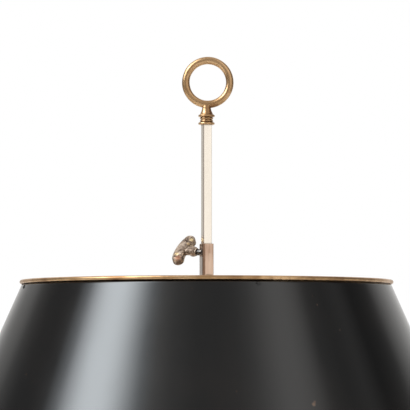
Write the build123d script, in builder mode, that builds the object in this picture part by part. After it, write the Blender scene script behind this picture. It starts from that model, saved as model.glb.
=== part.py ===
"""Bouillotte lamp: dish base, fluted column, three candle arms and a metal shade on a square rod.

Millimetres, +Z up. The origin is the middle of the felt's underside, on the lamp's axis. The square
rod and its sleeve have their faces along X and Y, and so have the four arms of the shade's spider.
"""

import os
from math import atan, cos, degrees, radians, sin, sqrt, tan

from build123d import *

os.makedirs("parts", exist_ok=True)

# ------------------------------------------------------------------ clearances
fit_gap = 0.05  # radial clearance of a shaft or thread in its hole
slip_gap = 0.1  # clearance of a sliding or push fit
loose_gap = 0.3  # clearance where two pieces only stand beside each other

# ------------------------------------------------------------------ base
felt_radius = 121.0
felt_thickness = 2.0
dish_radius = 124.0
dish_wall = 4.0
plinth_height = 11.0
cove = 3.0  # the hollow moulding above the plinth, as deep as it is high
dish_height = 26.0
rim_roll = 3.0  # half the height of the rolled rim
rim_wall = 3.0
tray_depth = 12.0
tray_corner = 4.0
tray_thickness = 3.0
seat_radius = 37.0
seat_slope = 8.0
seat_height = 22.0
seat_land = 1.0  # the upright edge under the seat's top
seat_inset = 2.0  # of the seat's underside inside its edge
slope_inset = 3.0  # of the slope's underside inside its foot
seat_sweep = 10.4  # radius of the slope from the tray up to the seat
weight_radius = 108.0
weight_thickness = 8.0
weight_round = 2.0
weight_boss_radius = 28.0
nut_recess_radius = 15.0
nut_recess_depth = 8.0
cord_groove_width = 9.0
cord_groove_depth = 7.0
cord_height = 5.6  # of the cord's hole above the felt
cord_hole_radius = 3.3
bushing_radius = 4.4
bushing_flange_radius = 5.4
bushing_flange = 1.6
bushing_depth = 8.5
bushing_round = 0.5

# ------------------------------------------------------------------ stem and column
stem_radius = 5.0
stem_bore_radius = 3.8
stem_engagement = 13.5  # of the stem's top in the rod's socket
stem_chamfer = 0.4
nut_across_flats = 14.0
nut_thickness = 5.0
washer_radius = 11.0
washer_thickness = 1.5
foot_height = 50.0
foot_torus_radius = 33.0
foot_torus = 4.0  # half its height
foot_neck_radius = 17.0
foot_step = 3.0
foot_step_height = 2.0
foot_sweep = 24.0  # radius of the hollow side
foot_bead = 3.5
foot_bead_below = 20.0  # of the bead's foot under the top
foot_ring = 2.5  # half the height of the ring under the shaft
foot_ring_margin = 1.0
foot_cove_step = 2.0
column_height = 154.0
column_foot_radius = 13.5
column_top_radius = 11.0
flute_count = 12
flute_radius = 2.3
flute_sink = 0.8  # how far the flute's own axis lies outside the shaft
flute_margin = 8.0  # plain shaft left above and below the flutes
capital_height = 28.0
capital_foot_radius = 12.0
capital_radius = 24.0
capital_bell = 15.0
abacus = 4.0
abacus_step = 2.0
astragal = 2.5

# ------------------------------------------------------------------ hub
hub_radius = 31.0
hub_wall = 3.0
hub_height = 40.0
hub_foot_radius = 20.0
hub_round = 10.0
hub_band = 1.0
hub_band_height = 3.0
arm_level = 20.0  # of the arms and the switch above the hub's underside
cap_radius = 32.5
cap_edge = 3.0
cap_lip = 2.0
cap_dome = 30.0  # radius of the domed side
cap_height = 11.0
cap_crown_radius = 11.5
cap_spigot = 2.5
terminal_radius = 17.0
terminal_height = 5.5
switch_angle = 315.0
switch_inner = 7.5
switch_depth = 15.0
switch_width = 20.0
switch_height = 22.0
switch_round = 2.0
switch_bush_radius = 4.5
switch_bush_reach = 34.5
switch_shaft_radius = 2.5
switch_shaft_start = 19.0
switch_nut_thickness = 2.5
knob_start = 35.2
knob_length = 14.0
knob_radius = 8.0
knob_round = 2.0
knob_flutes = 10
knob_flute_radius = 1.6
knob_bore_depth = 10.0

# ------------------------------------------------------------------ candle arms
arm_angles = [15.0, 135.0, 255.0]
arm_radius = 5.0
arm_bore_radius = 3.5
arm_reach = 100.0
arm_start = 22.0
arm_straight = 36.0  # where the arm leaves its straight stretch through the hub's wall
arm_dip_radius = 22.0
arm_dip_angle = 55.0
arm_collar_radius = 6.8
arm_collar = 4.0
arm_seat_radius = 8.0
arm_seat = 5.0
arm_thread = 16.0  # of the arm above the pan's underside
pan_level = 52.0  # of the drip pans' undersides above the hub's underside
pan_radius = 34.0
pan_flat_radius = 22.0
pan_rise = 4.0
pan_thickness = 1.2
pan_sweep = 20.0  # radius of the rising edge
cup_height = 30.0
cup_floor = 9.0
cup_radius = 16.2
cup_foot_radius = 10.5
cup_foot_edge = 1.5
cup_waist_height = 3.0
cup_waist_radius = 8.6
cup_inset = 1.2  # of the plain side inside the cup's radius
cup_bowl = 9.0  # radius of the bowl's side
cup_bowl_rise = 1.0
cup_lip = 0.8
cup_lip_height = 4.0
candle_radius = 13.2
candle_wall = 1.0
candle_length = 103.0
holder_radius = 11.3
holder_length = 102.0
holder_socket_radius = 7.1
holder_socket_depth = 24.0
lock_nut_flats = 13.0
lock_nut_thickness = 3.0
lead_radius = 1.3
lead_bend = 8.0
lead_proud = 0.5  # of the lead's end above the arm
bulb_cap_radius = 6.9
bulb_cap_length = 25.0
bulb_contact_radius = 2.5
bulb_contact = 1.2
bulb_cap_taper = 4.0
bulb_stand = 1.0  # of the glass above the holder
bulb_radius = 17.5
bulb_belly = 28.5  # of the widest place above the cap
bulb_neck_narrowing = 4.0
bulb_neck_share = 0.36  # of the belly's height
bulb_waist_share = 0.71  # of the radius
bulb_waist_rise = 5.0
bulb_tip_flat = 1.2
bulb_length = 76.0
bulb_wall = 0.8
bulb_tip_radius = 3.0

# ------------------------------------------------------------------ rod and ring
socket_radius = 8.5
socket_foot_radius = 11.0
socket_height = 26.0
socket_pocket = 10.0
socket_web = 2.0
socket_edge = 3.0
socket_sweep = 9.0  # radius of the hollow above the foot, and where it ends
socket_bead = 2.5  # half the height of the bead at the top
socket_bead_proud = 2.0
rod_side = 8.0
rod_round = 0.5
rod_length = 444.0
rod_spigot_radius = 3.0
rod_spigot = 7.0
spigot_relief = 0.5
collar_flange_radius = 7.6
collar_flange = 2.4
collar_ring_radius = 6.2
collar_ring = 2.35
collar_waist_radius = 5.4
collar_neck_radius = 3.25
collar_sweep = 12.0  # radius of the neck's hollow side
collar_neck = 7.4
ring_outer_radius = 23.8
ring_tube_radius = 3.5
ring_sink = 1.4  # how far the ring sits down into the neck
ring_yaw = -17.4  # the ring is screwed home at this angle from the XZ plane

# ------------------------------------------------------------------ shade
sleeve_side = 10.6
sleeve_round = 0.8
sleeve_length = 31.0
sleeve_lift = 293.3  # of the sleeve's foot above the rod's socket, as the lamp stands
shade_height = 180.0
shell_top_radius = 168.5
shell_bottom_radius = 248.3
shell_wall = 0.7
bead_radius = 1.9
bead_offset = 1.1  # of the bead's centre outside the shell
bead_grip = 0.6  # of the shell's edge let into the bead
rim_below_sleeve = 4.5
spider_width = 9.0
spider_thickness = 1.6
spider_plate = 20.0
spider_bend = 4.0
tab_below_rim = 9.5
rivet_radius = 1.5
rivet_head_radius = 2.0
rivet_head = 0.9
rivet_below_rim = 5.0

# ------------------------------------------------------------------ clamp screw and key
screw_height = 22.2  # of the screw's axis above the sleeve's foot, at the rod's axis
screw_rise = 8.0  # the screw slopes up so that the key clears the shade's rim
screw_radius = 2.0
screw_tip_radius = 0.8
screw_tip_gap = 0.03
screw_end = 18.0
boss_radius = 3.0
boss_start = 5.2
boss_end = 8.5
key_hub_start = 9.8
key_hub_radius = 4.7
key_hub_face_radius = 3.3
key_hub_end = 16.5
key_lean = 61.0  # of the key's long direction from upright, as it stands
key_thickness = 5.0
key_round = 1.2
lobe_offset = 15.5
lobe_centre = 21.5
lobe_radius = 6.0
key_back = 31.5  # the outer side's highest place, from the rod's axis
key_hollow_radius = 14.0
key_sink = 1.0  # how far the neck runs into the casting
key_core_sink = 3.0
volute_width = 1.3
volute_proud = 0.7
volute_radii = [4.3, 3.2, 2.1]

# ------------------------------------------------------------------ heights worked out from the sizes
felt_top = felt_thickness
tray_floor = felt_top + dish_height - tray_depth
seat_top = felt_top + seat_height
rim_top = felt_top + dish_height
foot_top = seat_top + foot_height
column_top = foot_top + column_height
hub_foot = column_top + capital_height
hub_floor = hub_foot + hub_wall
hub_top = hub_foot + hub_height
arm_height = hub_foot + arm_level
cap_top = hub_top + cap_height
socket_top = cap_top + socket_height
rod_foot = socket_top - socket_pocket
rod_top = rod_foot + rod_length
stem_top = cap_top + stem_engagement
pan_foot = hub_foot + pan_level
cup_foot = pan_foot + pan_thickness
cup_seat = cup_foot + cup_floor
arm_top = pan_foot + arm_thread
lead_top = arm_top + lead_proud
holder_top = cup_seat + holder_length
glass_foot = holder_top + bulb_stand
sleeve_foot = socket_top + sleeve_lift
rim_level = sleeve_foot - rim_below_sleeve
shade_slant = atan((shell_bottom_radius - shell_top_radius) / shade_height)
stem_hole_radius = stem_radius + loose_gap
spider_angles = [0.0, 90.0, 180.0, 270.0]


def turning_plane(x=0.0, y=0.0):
    """The upright plane for a turned profile: radius along local x, height along local y."""
    return Plane(origin=(x, y, 0), x_dir=(1, 0, 0), z_dir=(0, -1, 0))


def radial_plane(angle):
    """The upright plane through the lamp's axis at an angle: outwards along local x, up along y."""
    turn = radians(angle)
    return Plane(origin=(0, 0, 0), x_dir=(cos(turn), sin(turn), 0), z_dir=(sin(turn), -cos(turn), 0))


def outward_plane(angle, height):
    """The plane at the lamp's axis that faces outwards at an angle, with local y up."""
    turn = radians(angle)
    return Plane(origin=(0, 0, height), x_dir=(-sin(turn), cos(turn), 0), z_dir=(cos(turn), sin(turn), 0))


def on_circle(angle, radius):
    """The plan position at a radius and an angle."""
    return radius * cos(radians(angle)), radius * sin(radians(angle))


# ================================================================== base
with BuildPart() as felt_pad:
    with BuildSketch():
        Circle(felt_radius)
        Circle(nut_recess_radius, mode=Mode.SUBTRACT)
    extrude(amount=felt_thickness)
felt_pad.part.label = "felt_pad"
export_step(felt_pad.part, "parts/felt_pad.step")

seat_underside = seat_top - tray_thickness
with BuildPart() as base_weight:
    with BuildSketch(Plane.XY.offset(felt_top)):
        Circle(weight_radius)
    extrude(amount=weight_thickness)
    fillet(base_weight.edges().filter_by(GeomType.CIRCLE).group_by(Axis.Z)[-1], weight_round)
    with BuildSketch(Plane.XY.offset(felt_top)):
        Circle(weight_boss_radius)
    extrude(amount=seat_underside - felt_top)
    with BuildSketch(Plane.XY.offset(felt_top)):
        Circle(nut_recess_radius)
        with Locations((0, weight_radius / 2)):
            Rectangle(cord_groove_width, weight_radius)
    extrude(amount=cord_groove_depth, mode=Mode.SUBTRACT)
    with BuildSketch(Plane.XY.offset(felt_top)):
        Circle(nut_recess_radius)
    extrude(amount=nut_recess_depth, mode=Mode.SUBTRACT)
    with Locations((0, 0, seat_underside)):
        Hole(stem_hole_radius)
base_weight.part.label = "base_weight"
export_step(base_weight.part, "parts/base_weight.step")

neck_radius = dish_radius - cove
tray_radius = neck_radius - rim_wall
tray_underside = tray_floor - tray_thickness
inner_radius = dish_radius - dish_wall
roll_centre = rim_top - rim_roll
with BuildPart() as base_dish:
    with BuildSketch(turning_plane()):
        with BuildLine():
            plinth = Polyline(
                (inner_radius, felt_top),
                (dish_radius, felt_top),
                (dish_radius, felt_top + plinth_height),
            )
            hollow = RadiusArc(plinth @ 1, (neck_radius, felt_top + plinth_height + cove), -cove)
            neck = Line(hollow @ 1, (neck_radius, roll_centre - rim_roll))
            roll = ThreePointArc(
                neck @ 1, (neck_radius + rim_roll, roll_centre), (neck_radius, rim_top)
            )
            lip = RadiusArc(roll @ 1, (tray_radius, roll_centre), -rim_roll)
            wall = Line(lip @ 1, (tray_radius, tray_floor + tray_corner))
            corner = RadiusArc(wall @ 1, (tray_radius - tray_corner, tray_floor), tray_corner)
            floor = Line(corner @ 1, (seat_radius + seat_slope, tray_floor))
            ogee = RadiusArc(floor @ 1, (seat_radius, seat_top - seat_land), seat_sweep)
            under = Polyline(
                ogee @ 1,
                (seat_radius, seat_top),
                (stem_hole_radius, seat_top),
                (stem_hole_radius, seat_underside),
                (seat_radius - seat_inset, seat_underside),
                (seat_radius + seat_slope - slope_inset, tray_underside),
                (inner_radius - tray_corner, tray_underside),
                (inner_radius, tray_underside - tray_corner),
                (inner_radius, felt_top),
            )
        make_face()
    revolve(axis=Axis.Z)
    with BuildSketch(outward_plane(90.0, felt_top + cord_height).offset(inner_radius - tray_corner)):
        Circle(bushing_radius + slip_gap)
    extrude(amount=dish_wall + 2 * tray_corner, mode=Mode.SUBTRACT)
base_dish.part.label = "base_dish"
export_step(base_dish.part, "parts/base_dish.step")

bushing_face = dish_radius + bushing_flange
with BuildPart() as cord_bushing:
    with BuildSketch(outward_plane(90.0, felt_top + cord_height).offset(bushing_face - bushing_depth)):
        Circle(bushing_radius)
    extrude(amount=bushing_depth)
    with BuildSketch(outward_plane(90.0, felt_top + cord_height).offset(dish_radius)):
        Circle(bushing_flange_radius)
    extrude(amount=bushing_flange)
    fillet(cord_bushing.edges().filter_by(GeomType.CIRCLE).group_by(Axis.Y)[-1], bushing_round)
    with BuildSketch(outward_plane(90.0, felt_top + cord_height).offset(bushing_face - bushing_depth)):
        Circle(cord_hole_radius)
    extrude(amount=bushing_depth, mode=Mode.SUBTRACT)
cord_bushing.part.label = "cord_bushing"
export_step(cord_bushing.part, "parts/cord_bushing.step")

# ================================================================== stem, nut and washer
washer_top = felt_top + nut_recess_depth
nut_foot = washer_top - washer_thickness - nut_thickness
with BuildPart() as base_washer:
    with BuildSketch(Plane.XY.offset(washer_top - washer_thickness)):
        Circle(washer_radius)
        Circle(stem_hole_radius, mode=Mode.SUBTRACT)
    extrude(amount=washer_thickness)
base_washer.part.label = "base_washer"
export_step(base_washer.part, "parts/base_washer.step")

with BuildPart() as base_nut:
    with BuildSketch(Plane.XY.offset(nut_foot)):
        RegularPolygon(nut_across_flats / 2, 6, major_radius=False)
        Circle(stem_radius + fit_gap, mode=Mode.SUBTRACT)
    extrude(amount=nut_thickness)
base_nut.part.label = "base_nut"
export_step(base_nut.part, "parts/base_nut.step")

with BuildPart() as stem_tube:
    with BuildSketch(Plane.XY.offset(nut_foot)):
        Circle(stem_radius)
        Circle(stem_bore_radius, mode=Mode.SUBTRACT)
    extrude(amount=stem_top - nut_foot)
    chamfer(stem_tube.edges().filter_by(GeomType.CIRCLE).sort_by(SortBy.RADIUS)[-2:], stem_chamfer)
stem_tube.part.label = "stem_tube"
export_step(stem_tube.part, "parts/stem_tube.step")

# ================================================================== column
with BuildPart() as column_foot:
    with BuildSketch(turning_plane()):
        with BuildLine():
            sole = Line((stem_hole_radius, seat_top), (foot_torus_radius, seat_top))
            torus = ThreePointArc(
                sole @ 1,
                (foot_torus_radius + foot_torus / 2, seat_top + foot_torus),
                (foot_torus_radius, seat_top + 2 * foot_torus),
            )
            step = Polyline(
                torus @ 1,
                (foot_torus_radius - foot_step, seat_top + 2 * foot_torus),
                (foot_torus_radius - foot_step, seat_top + 2 * foot_torus + foot_step_height),
            )
            bead_foot = foot_top - foot_bead_below
            sweep_up = RadiusArc(step @ 1, (foot_neck_radius, bead_foot), foot_sweep)
            bead = ThreePointArc(
                sweep_up @ 1,
                (foot_neck_radius + foot_bead, bead_foot + foot_bead),
                (foot_neck_radius, bead_foot + 2 * foot_bead),
            )
            collar = Polyline(
                bead @ 1,
                (foot_neck_radius - foot_cove_step, bead_foot + 2 * foot_bead),
                (column_foot_radius + foot_ring_margin, foot_top - 2 * foot_ring),
            )
            ring = ThreePointArc(
                collar @ 1,
                (column_foot_radius + foot_ring_margin + foot_ring, foot_top - foot_ring),
                (column_foot_radius + foot_ring_margin, foot_top),
            )
            Polyline(ring @ 1, (stem_hole_radius, foot_top), (stem_hole_radius, seat_top))
        make_face()
    revolve(axis=Axis.Z)
column_foot.part.label = "column_foot"
export_step(column_foot.part, "parts/column_foot.step")

flute_foot = foot_top + flute_margin
flute_top = column_top - flute_margin
shaft_taper = (column_foot_radius - column_top_radius) / column_height
flute_length = (flute_top - flute_foot) / cos(atan(shaft_taper))


def shaft_radius(height):
    """Radius of the tapered shaft at a height."""
    return column_foot_radius - (height - foot_top) * shaft_taper


with BuildPart() as column:
    with BuildSketch(turning_plane()):
        Polygon(
            (stem_hole_radius, foot_top),
            (column_foot_radius, foot_top),
            (column_top_radius, column_top),
            (stem_hole_radius, column_top),
            align=None,
        )
    revolve(axis=Axis.Z)
    flute_middle = (flute_foot + flute_top) / 2
    with Locations(Plane.XY.offset(flute_middle)):
        with PolarLocations(shaft_radius(flute_middle) + flute_sink, flute_count):
            Cylinder(
                flute_radius,
                flute_length,
                rotation=(0, -degrees(atan(shaft_taper)), 0),
                mode=Mode.SUBTRACT,
            )
    for end in (flute_foot, flute_top):
        with Locations(Plane.XY.offset(end)):
            with PolarLocations(shaft_radius(end) + flute_sink, flute_count):
                Sphere(flute_radius, mode=Mode.SUBTRACT)
column.part.label = "column"
export_step(column.part, "parts/column.step")

bell_foot = column_top + 2 * astragal
bell_top = bell_foot + capital_bell
with BuildPart() as capital:
    with BuildSketch(turning_plane()):
        with BuildLine():
            base = Line((stem_hole_radius, column_top), (capital_foot_radius, column_top))
            bead = ThreePointArc(
                base @ 1,
                (capital_foot_radius + astragal, column_top + astragal),
                (capital_foot_radius, bell_foot),
            )
            bell = RadiusArc(bead @ 1, (capital_radius - abacus_step, bell_top), capital_bell)
            Polyline(
                bell @ 1,
                (capital_radius, bell_top),
                (capital_radius, bell_top + abacus),
                (hub_foot_radius, bell_top + abacus),
                (hub_foot_radius, hub_foot),
                (stem_hole_radius, hub_foot),
                (stem_hole_radius, column_top),
            )
        make_face()
    revolve(axis=Axis.Z)
capital.part.label = "capital"
export_step(capital.part, "parts/capital.step")

# ================================================================== hub
hub_inner_radius = hub_radius - hub_wall
with BuildPart() as hub:
    with BuildSketch(turning_plane()):
        with BuildLine():
            sole = Line((stem_hole_radius, hub_foot), (hub_foot_radius, hub_foot))
            belly = RadiusArc(sole @ 1, (hub_radius, hub_foot + hub_round), -hub_radius / 2)
            side = Line(belly @ 1, (hub_radius, hub_top))
            rim = Line(side @ 1, (hub_inner_radius, hub_top))
            bore = Line(rim @ 1, (hub_inner_radius, hub_floor + hub_round - hub_wall))
            inner = RadiusArc(bore @ 1, (hub_foot_radius, hub_floor), hub_radius / 2)
            Polyline(inner @ 1, (stem_hole_radius, hub_floor), (stem_hole_radius, hub_foot))
        make_face()
        for band in (hub_foot + hub_round - hub_band_height + hub_band, hub_top - hub_band_height):
            with Locations((hub_radius - hub_band, band)):
                Rectangle(2 * hub_band, hub_band_height, align=(Align.MIN, Align.MIN))
    revolve(axis=Axis.Z)
    for angle in arm_angles:
        with BuildSketch(outward_plane(angle, arm_height).offset(arm_start)):
            Circle(arm_radius + fit_gap)
        extrude(amount=hub_radius - arm_start + 2 * hub_band, mode=Mode.SUBTRACT)
    with BuildSketch(outward_plane(switch_angle, arm_height).offset(arm_start)):
        Circle(switch_bush_radius + slip_gap)
    extrude(amount=hub_radius - arm_start + 2 * hub_band, mode=Mode.SUBTRACT)
hub.part.label = "hub"
export_step(hub.part, "parts/hub.step")

with BuildPart() as hub_cap:
    with BuildSketch(turning_plane()):
        with BuildLine():
            edge = Polyline(
                (stem_hole_radius, hub_top),
                (stem_hole_radius, cap_top),
                (cap_crown_radius, cap_top),
            )
            dome = RadiusArc(edge @ 1, (cap_radius - cap_lip, hub_top + cap_edge), -cap_dome)
            Polyline(
                dome @ 1,
                (cap_radius, hub_top + cap_edge),
                (cap_radius, hub_top),
                (hub_inner_radius - slip_gap, hub_top),
                (hub_inner_radius - slip_gap, hub_top - cap_spigot),
                (hub_inner_radius - hub_wall, hub_top - cap_spigot),
                (hub_inner_radius - hub_wall, hub_top),
                (stem_hole_radius, hub_top),
            )
        make_face()
    revolve(axis=Axis.Z)
hub_cap.part.label = "hub_cap"
export_step(hub_cap.part, "parts/hub_cap.step")

with BuildPart() as terminal_ring:
    with BuildSketch(Plane.XY.offset(hub_floor)):
        Circle(terminal_radius)
        Circle(stem_hole_radius, mode=Mode.SUBTRACT)
    extrude(amount=terminal_height)
terminal_ring.part.label = "terminal_ring"
export_step(terminal_ring.part, "parts/terminal_ring.step")

# ================================================================== switch
switch_plane = outward_plane(switch_angle, arm_height)
with BuildPart() as switch_body:
    with BuildSketch(switch_plane.offset(switch_inner)):
        RectangleRounded(switch_width, switch_height, switch_round)
    extrude(amount=switch_depth)
    with BuildSketch(switch_plane.offset(switch_inner + switch_depth)):
        Circle(switch_bush_radius)
    extrude(amount=switch_bush_reach - switch_inner - switch_depth)
    with BuildSketch(switch_plane.offset(switch_shaft_start)):
        Circle(switch_shaft_radius + fit_gap)
    extrude(amount=switch_bush_reach - switch_shaft_start, mode=Mode.SUBTRACT)
switch_body.part.label = "switch_body"
export_step(switch_body.part, "parts/switch_body.step")

with BuildPart() as switch_nut:
    with BuildSketch(switch_plane.offset(hub_radius + loose_gap)):
        RegularPolygon(nut_across_flats / 2, 6, major_radius=False)
        Circle(switch_bush_radius + fit_gap, mode=Mode.SUBTRACT)
    extrude(amount=switch_nut_thickness)
switch_nut.part.label = "switch_nut"
export_step(switch_nut.part, "parts/switch_nut.step")

shaft_end = knob_start + knob_bore_depth - fit_gap
with BuildPart() as switch_shaft:
    with BuildSketch(switch_plane.offset(switch_shaft_start + fit_gap)):
        Circle(switch_shaft_radius)
    extrude(amount=shaft_end - switch_shaft_start - fit_gap)
switch_shaft.part.label = "switch_shaft"
export_step(switch_shaft.part, "parts/switch_shaft.step")

with BuildPart() as switch_knob:
    with BuildSketch(switch_plane.offset(knob_start)):
        Circle(knob_radius)
    extrude(amount=knob_length)
    knob_axis = Axis(switch_plane.origin, switch_plane.z_dir)
    fillet(switch_knob.edges().filter_by(GeomType.CIRCLE).sort_by(knob_axis)[-1], knob_round)
    with BuildSketch(switch_plane.offset(knob_start)):
        with PolarLocations(knob_radius + knob_flute_radius / 2, knob_flutes):
            Circle(knob_flute_radius)
    extrude(amount=knob_length, mode=Mode.SUBTRACT)
    with BuildSketch(switch_plane.offset(knob_start)):
        Circle(switch_shaft_radius + fit_gap / 2)
    extrude(amount=knob_bore_depth, mode=Mode.SUBTRACT)
switch_knob.part.label = "switch_knob"
export_step(switch_knob.part, "parts/switch_knob.step")

# ================================================================== candle arms
# The arm leaves the hub level, dips, and rises to stand upright at its reach.
dip = radians(arm_dip_angle)
rise_radius = (arm_reach - arm_straight - arm_dip_radius * sin(dip)) / (1 + sin(dip))


def arm_line(plane, top):
    """The arm's centre line in its radial plane, from inside the hub up to a height."""
    with BuildLine(plane) as line:
        stub = Line((arm_start, arm_height), (arm_straight, arm_height))
        fall = JernArc(stub @ 1, stub % 1, arm_dip_radius, -arm_dip_angle)
        lift = JernArc(fall @ 1, fall % 1, rise_radius, 90.0 + arm_dip_angle)
        Line(lift @ 1, plane.from_local_coords((arm_reach, top)))
    return line.line


def make_arm(number, angle):
    """A bent tube with a collar against the hub and a seat under the drip pan."""
    plane = radial_plane(angle)
    path = arm_line(plane, arm_top)
    x, y = on_circle(angle, arm_reach)
    with BuildPart() as arm:
        with BuildSketch(Plane(origin=path @ 0, z_dir=path % 0)):
            Circle(arm_radius)
        sweep(path=path)
        with BuildSketch(outward_plane(angle, arm_height).offset(hub_radius + loose_gap)):
            Circle(arm_collar_radius)
        extrude(amount=arm_collar)
        with BuildSketch(Plane.XY.offset(pan_foot - arm_seat)):
            with Locations((x, y)):
                Circle(arm_seat_radius)
        extrude(amount=arm_seat)
        with BuildSketch(Plane(origin=path @ 0, z_dir=path % 0)):
            Circle(arm_bore_radius)
        sweep(path=path, mode=Mode.SUBTRACT)
    arm.part.label = f"arm_{number}"
    export_step(arm.part, f"parts/arm_{number}.step")


def make_lead(number, angle):
    """The insulated lead inside an arm, from the terminal ring to the lamp holder."""
    plane = radial_plane(angle)
    start = arm_start - lead_bend
    with BuildLine(plane) as bend:
        stub = Line((start, hub_floor + terminal_height), (start, arm_height - lead_bend))
        JernArc(stub @ 1, stub % 1, lead_bend, -90.0)
    path = Wire(bend.edges() + arm_line(plane, lead_top).edges())
    with BuildPart() as lead:
        with BuildSketch(Plane(origin=path @ 0, z_dir=path % 0)):
            Circle(lead_radius)
        sweep(path=path)
    lead.part.label = f"holder_lead_{number}"
    export_step(lead.part, f"parts/holder_lead_{number}.step")


def make_drip_pan(number, x, y):
    """A shallow turned saucer clamped between the arm's seat and the candle cup."""
    with BuildPart() as pan:
        with BuildSketch(turning_plane(x, y)):
            with BuildLine():
                sole = Line((arm_radius + slip_gap, pan_foot), (pan_flat_radius, pan_foot))
                flare = RadiusArc(sole @ 1, (pan_radius, pan_foot + pan_rise), -pan_sweep)
                lip = Line(flare @ 1, (pan_radius - pan_thickness / 2, pan_foot + pan_rise + pan_thickness))
                inside = RadiusArc(lip @ 1, (pan_flat_radius, cup_foot), pan_sweep)
                Polyline(
                    inside @ 1, (arm_radius + slip_gap, cup_foot), (arm_radius + slip_gap, pan_foot)
                )
            make_face()
        revolve(axis=Axis((x, y, 0), (0, 0, 1)))
    pan.part.label = f"drip_pan_{number}"
    export_step(pan.part, f"parts/drip_pan_{number}.step")


def make_candle_cup(number, x, y):
    """A turned vase-shaped cup that holds the candle tube."""
    inner = candle_radius + loose_gap
    cup_side = cup_radius - cup_inset
    cup_top = cup_foot + cup_height
    with BuildPart() as cup:
        with BuildSketch(turning_plane(x, y)):
            with BuildLine():
                foot = Polyline(
                    (arm_radius + slip_gap, cup_foot),
                    (cup_foot_radius, cup_foot),
                    (cup_foot_radius, cup_foot + cup_foot_edge),
                    (cup_waist_radius, cup_foot + cup_waist_height),
                )
                bowl = RadiusArc(foot @ 1, (cup_side, cup_seat + cup_bowl_rise), -cup_bowl)
                side = Line(bowl @ 1, (cup_side, cup_top - cup_lip_height))
                lip = ThreePointArc(
                    side @ 1,
                    (cup_radius + cup_lip, cup_top - cup_lip_height / 2),
                    (cup_side, cup_top),
                )
                Polyline(
                    lip @ 1,
                    (inner, cup_top),
                    (inner, cup_seat),
                    (arm_radius + slip_gap, cup_seat),
                    (arm_radius + slip_gap, cup_foot),
                )
            make_face()
        revolve(axis=Axis((x, y, 0), (0, 0, 1)))
    cup.part.label = f"candle_cup_{number}"
    export_step(cup.part, f"parts/candle_cup_{number}.step")


def make_candle_tube(number, x, y):
    """The cream tube that covers the lamp holder."""
    with BuildPart() as tube:
        with BuildSketch(Plane.XY.offset(cup_seat)):
            with Locations((x, y)):
                Circle(candle_radius)
                Circle(candle_radius - candle_wall, mode=Mode.SUBTRACT)
        extrude(amount=candle_length)
    tube.part.label = f"candle_tube_{number}"
    export_step(tube.part, f"parts/candle_tube_{number}.step")


def make_lamp_holder(number, x, y):
    """The tall holder that screws down on the arm's end and clamps the cup and the pan."""
    with BuildPart() as holder:
        with BuildSketch(Plane.XY.offset(cup_seat)):
            with Locations((x, y)):
                Circle(holder_radius)
        extrude(amount=holder_length)
        with BuildSketch(Plane.XY.offset(holder_top)):
            with Locations((x, y)):
                Circle(holder_socket_radius)
        extrude(amount=-holder_socket_depth, mode=Mode.SUBTRACT)
        with BuildSketch(Plane.XY.offset(cup_seat)):
            with Locations((x, y)):
                Circle(arm_radius + fit_gap)
        extrude(amount=lead_top - cup_seat, mode=Mode.SUBTRACT)
    holder.part.label = f"lamp_holder_{number}"
    export_step(holder.part, f"parts/lamp_holder_{number}.step")


def make_bulb_cap(number, x, y):
    """The bulb's screw cap with its centre contact."""
    foot = glass_foot - bulb_cap_length
    with BuildPart() as cap:
        with BuildSketch(turning_plane(x, y)):
            Polygon(
                (0, foot),
                (bulb_contact_radius, foot),
                (bulb_contact_radius, foot + bulb_contact),
                (bulb_cap_radius, foot + bulb_cap_taper),
                (bulb_cap_radius, glass_foot),
                (0, glass_foot),
                align=None,
            )
        revolve(axis=Axis((x, y, 0), (0, 0, 1)))
    cap.part.label = f"bulb_cap_{number}"
    export_step(cap.part, f"parts/bulb_cap_{number}.step")


def bulb_profile(wall):
    """The candle-shaped outline, drawn in from the outer face by a wall."""
    belly = glass_foot + bulb_belly
    top = glass_foot + bulb_length - 1.5 * wall
    shoulder = top - bulb_tip_radius
    waist = bulb_radius * bulb_waist_share - wall
    with BuildLine() as outline:
        neck = ThreePointArc(
            (bulb_cap_radius - wall, glass_foot),
            (bulb_radius - bulb_neck_narrowing - wall, glass_foot + bulb_belly * bulb_neck_share),
            (bulb_radius - wall, belly),
        )
        flank = ThreePointArc(
            neck @ 1,
            (waist, (belly + shoulder) / 2 + bulb_waist_rise),
            (bulb_tip_radius - wall, shoulder),
        )
        Polyline(
            flank @ 1, (bulb_tip_flat, top), (0, top), (0, glass_foot), neck @ 0
        )
    return outline.line


def make_bulb_glass(number, x, y):
    """The candle-shaped glass, hollow and open where it stands on its cap."""
    axis = Axis((x, y, 0), (0, 0, 1))
    with BuildPart() as glass:
        with BuildSketch(turning_plane(x, y)):
            make_face(bulb_profile(0.0).edges())
        revolve(axis=axis)
        with BuildSketch(turning_plane(x, y)):
            make_face(bulb_profile(bulb_wall).edges())
        revolve(axis=axis, mode=Mode.SUBTRACT)
    glass.part.label = f"bulb_glass_{number}"
    export_step(glass.part, f"parts/bulb_glass_{number}.step")


for number, angle in enumerate(arm_angles, start=1):
    centre_x, centre_y = on_circle(angle, arm_reach)
    make_arm(number, angle)
    make_lead(number, angle)
    make_drip_pan(number, centre_x, centre_y)
    make_candle_cup(number, centre_x, centre_y)
    make_candle_tube(number, centre_x, centre_y)
    make_lamp_holder(number, centre_x, centre_y)
    make_bulb_cap(number, centre_x, centre_y)
    make_bulb_glass(number, centre_x, centre_y)

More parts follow.
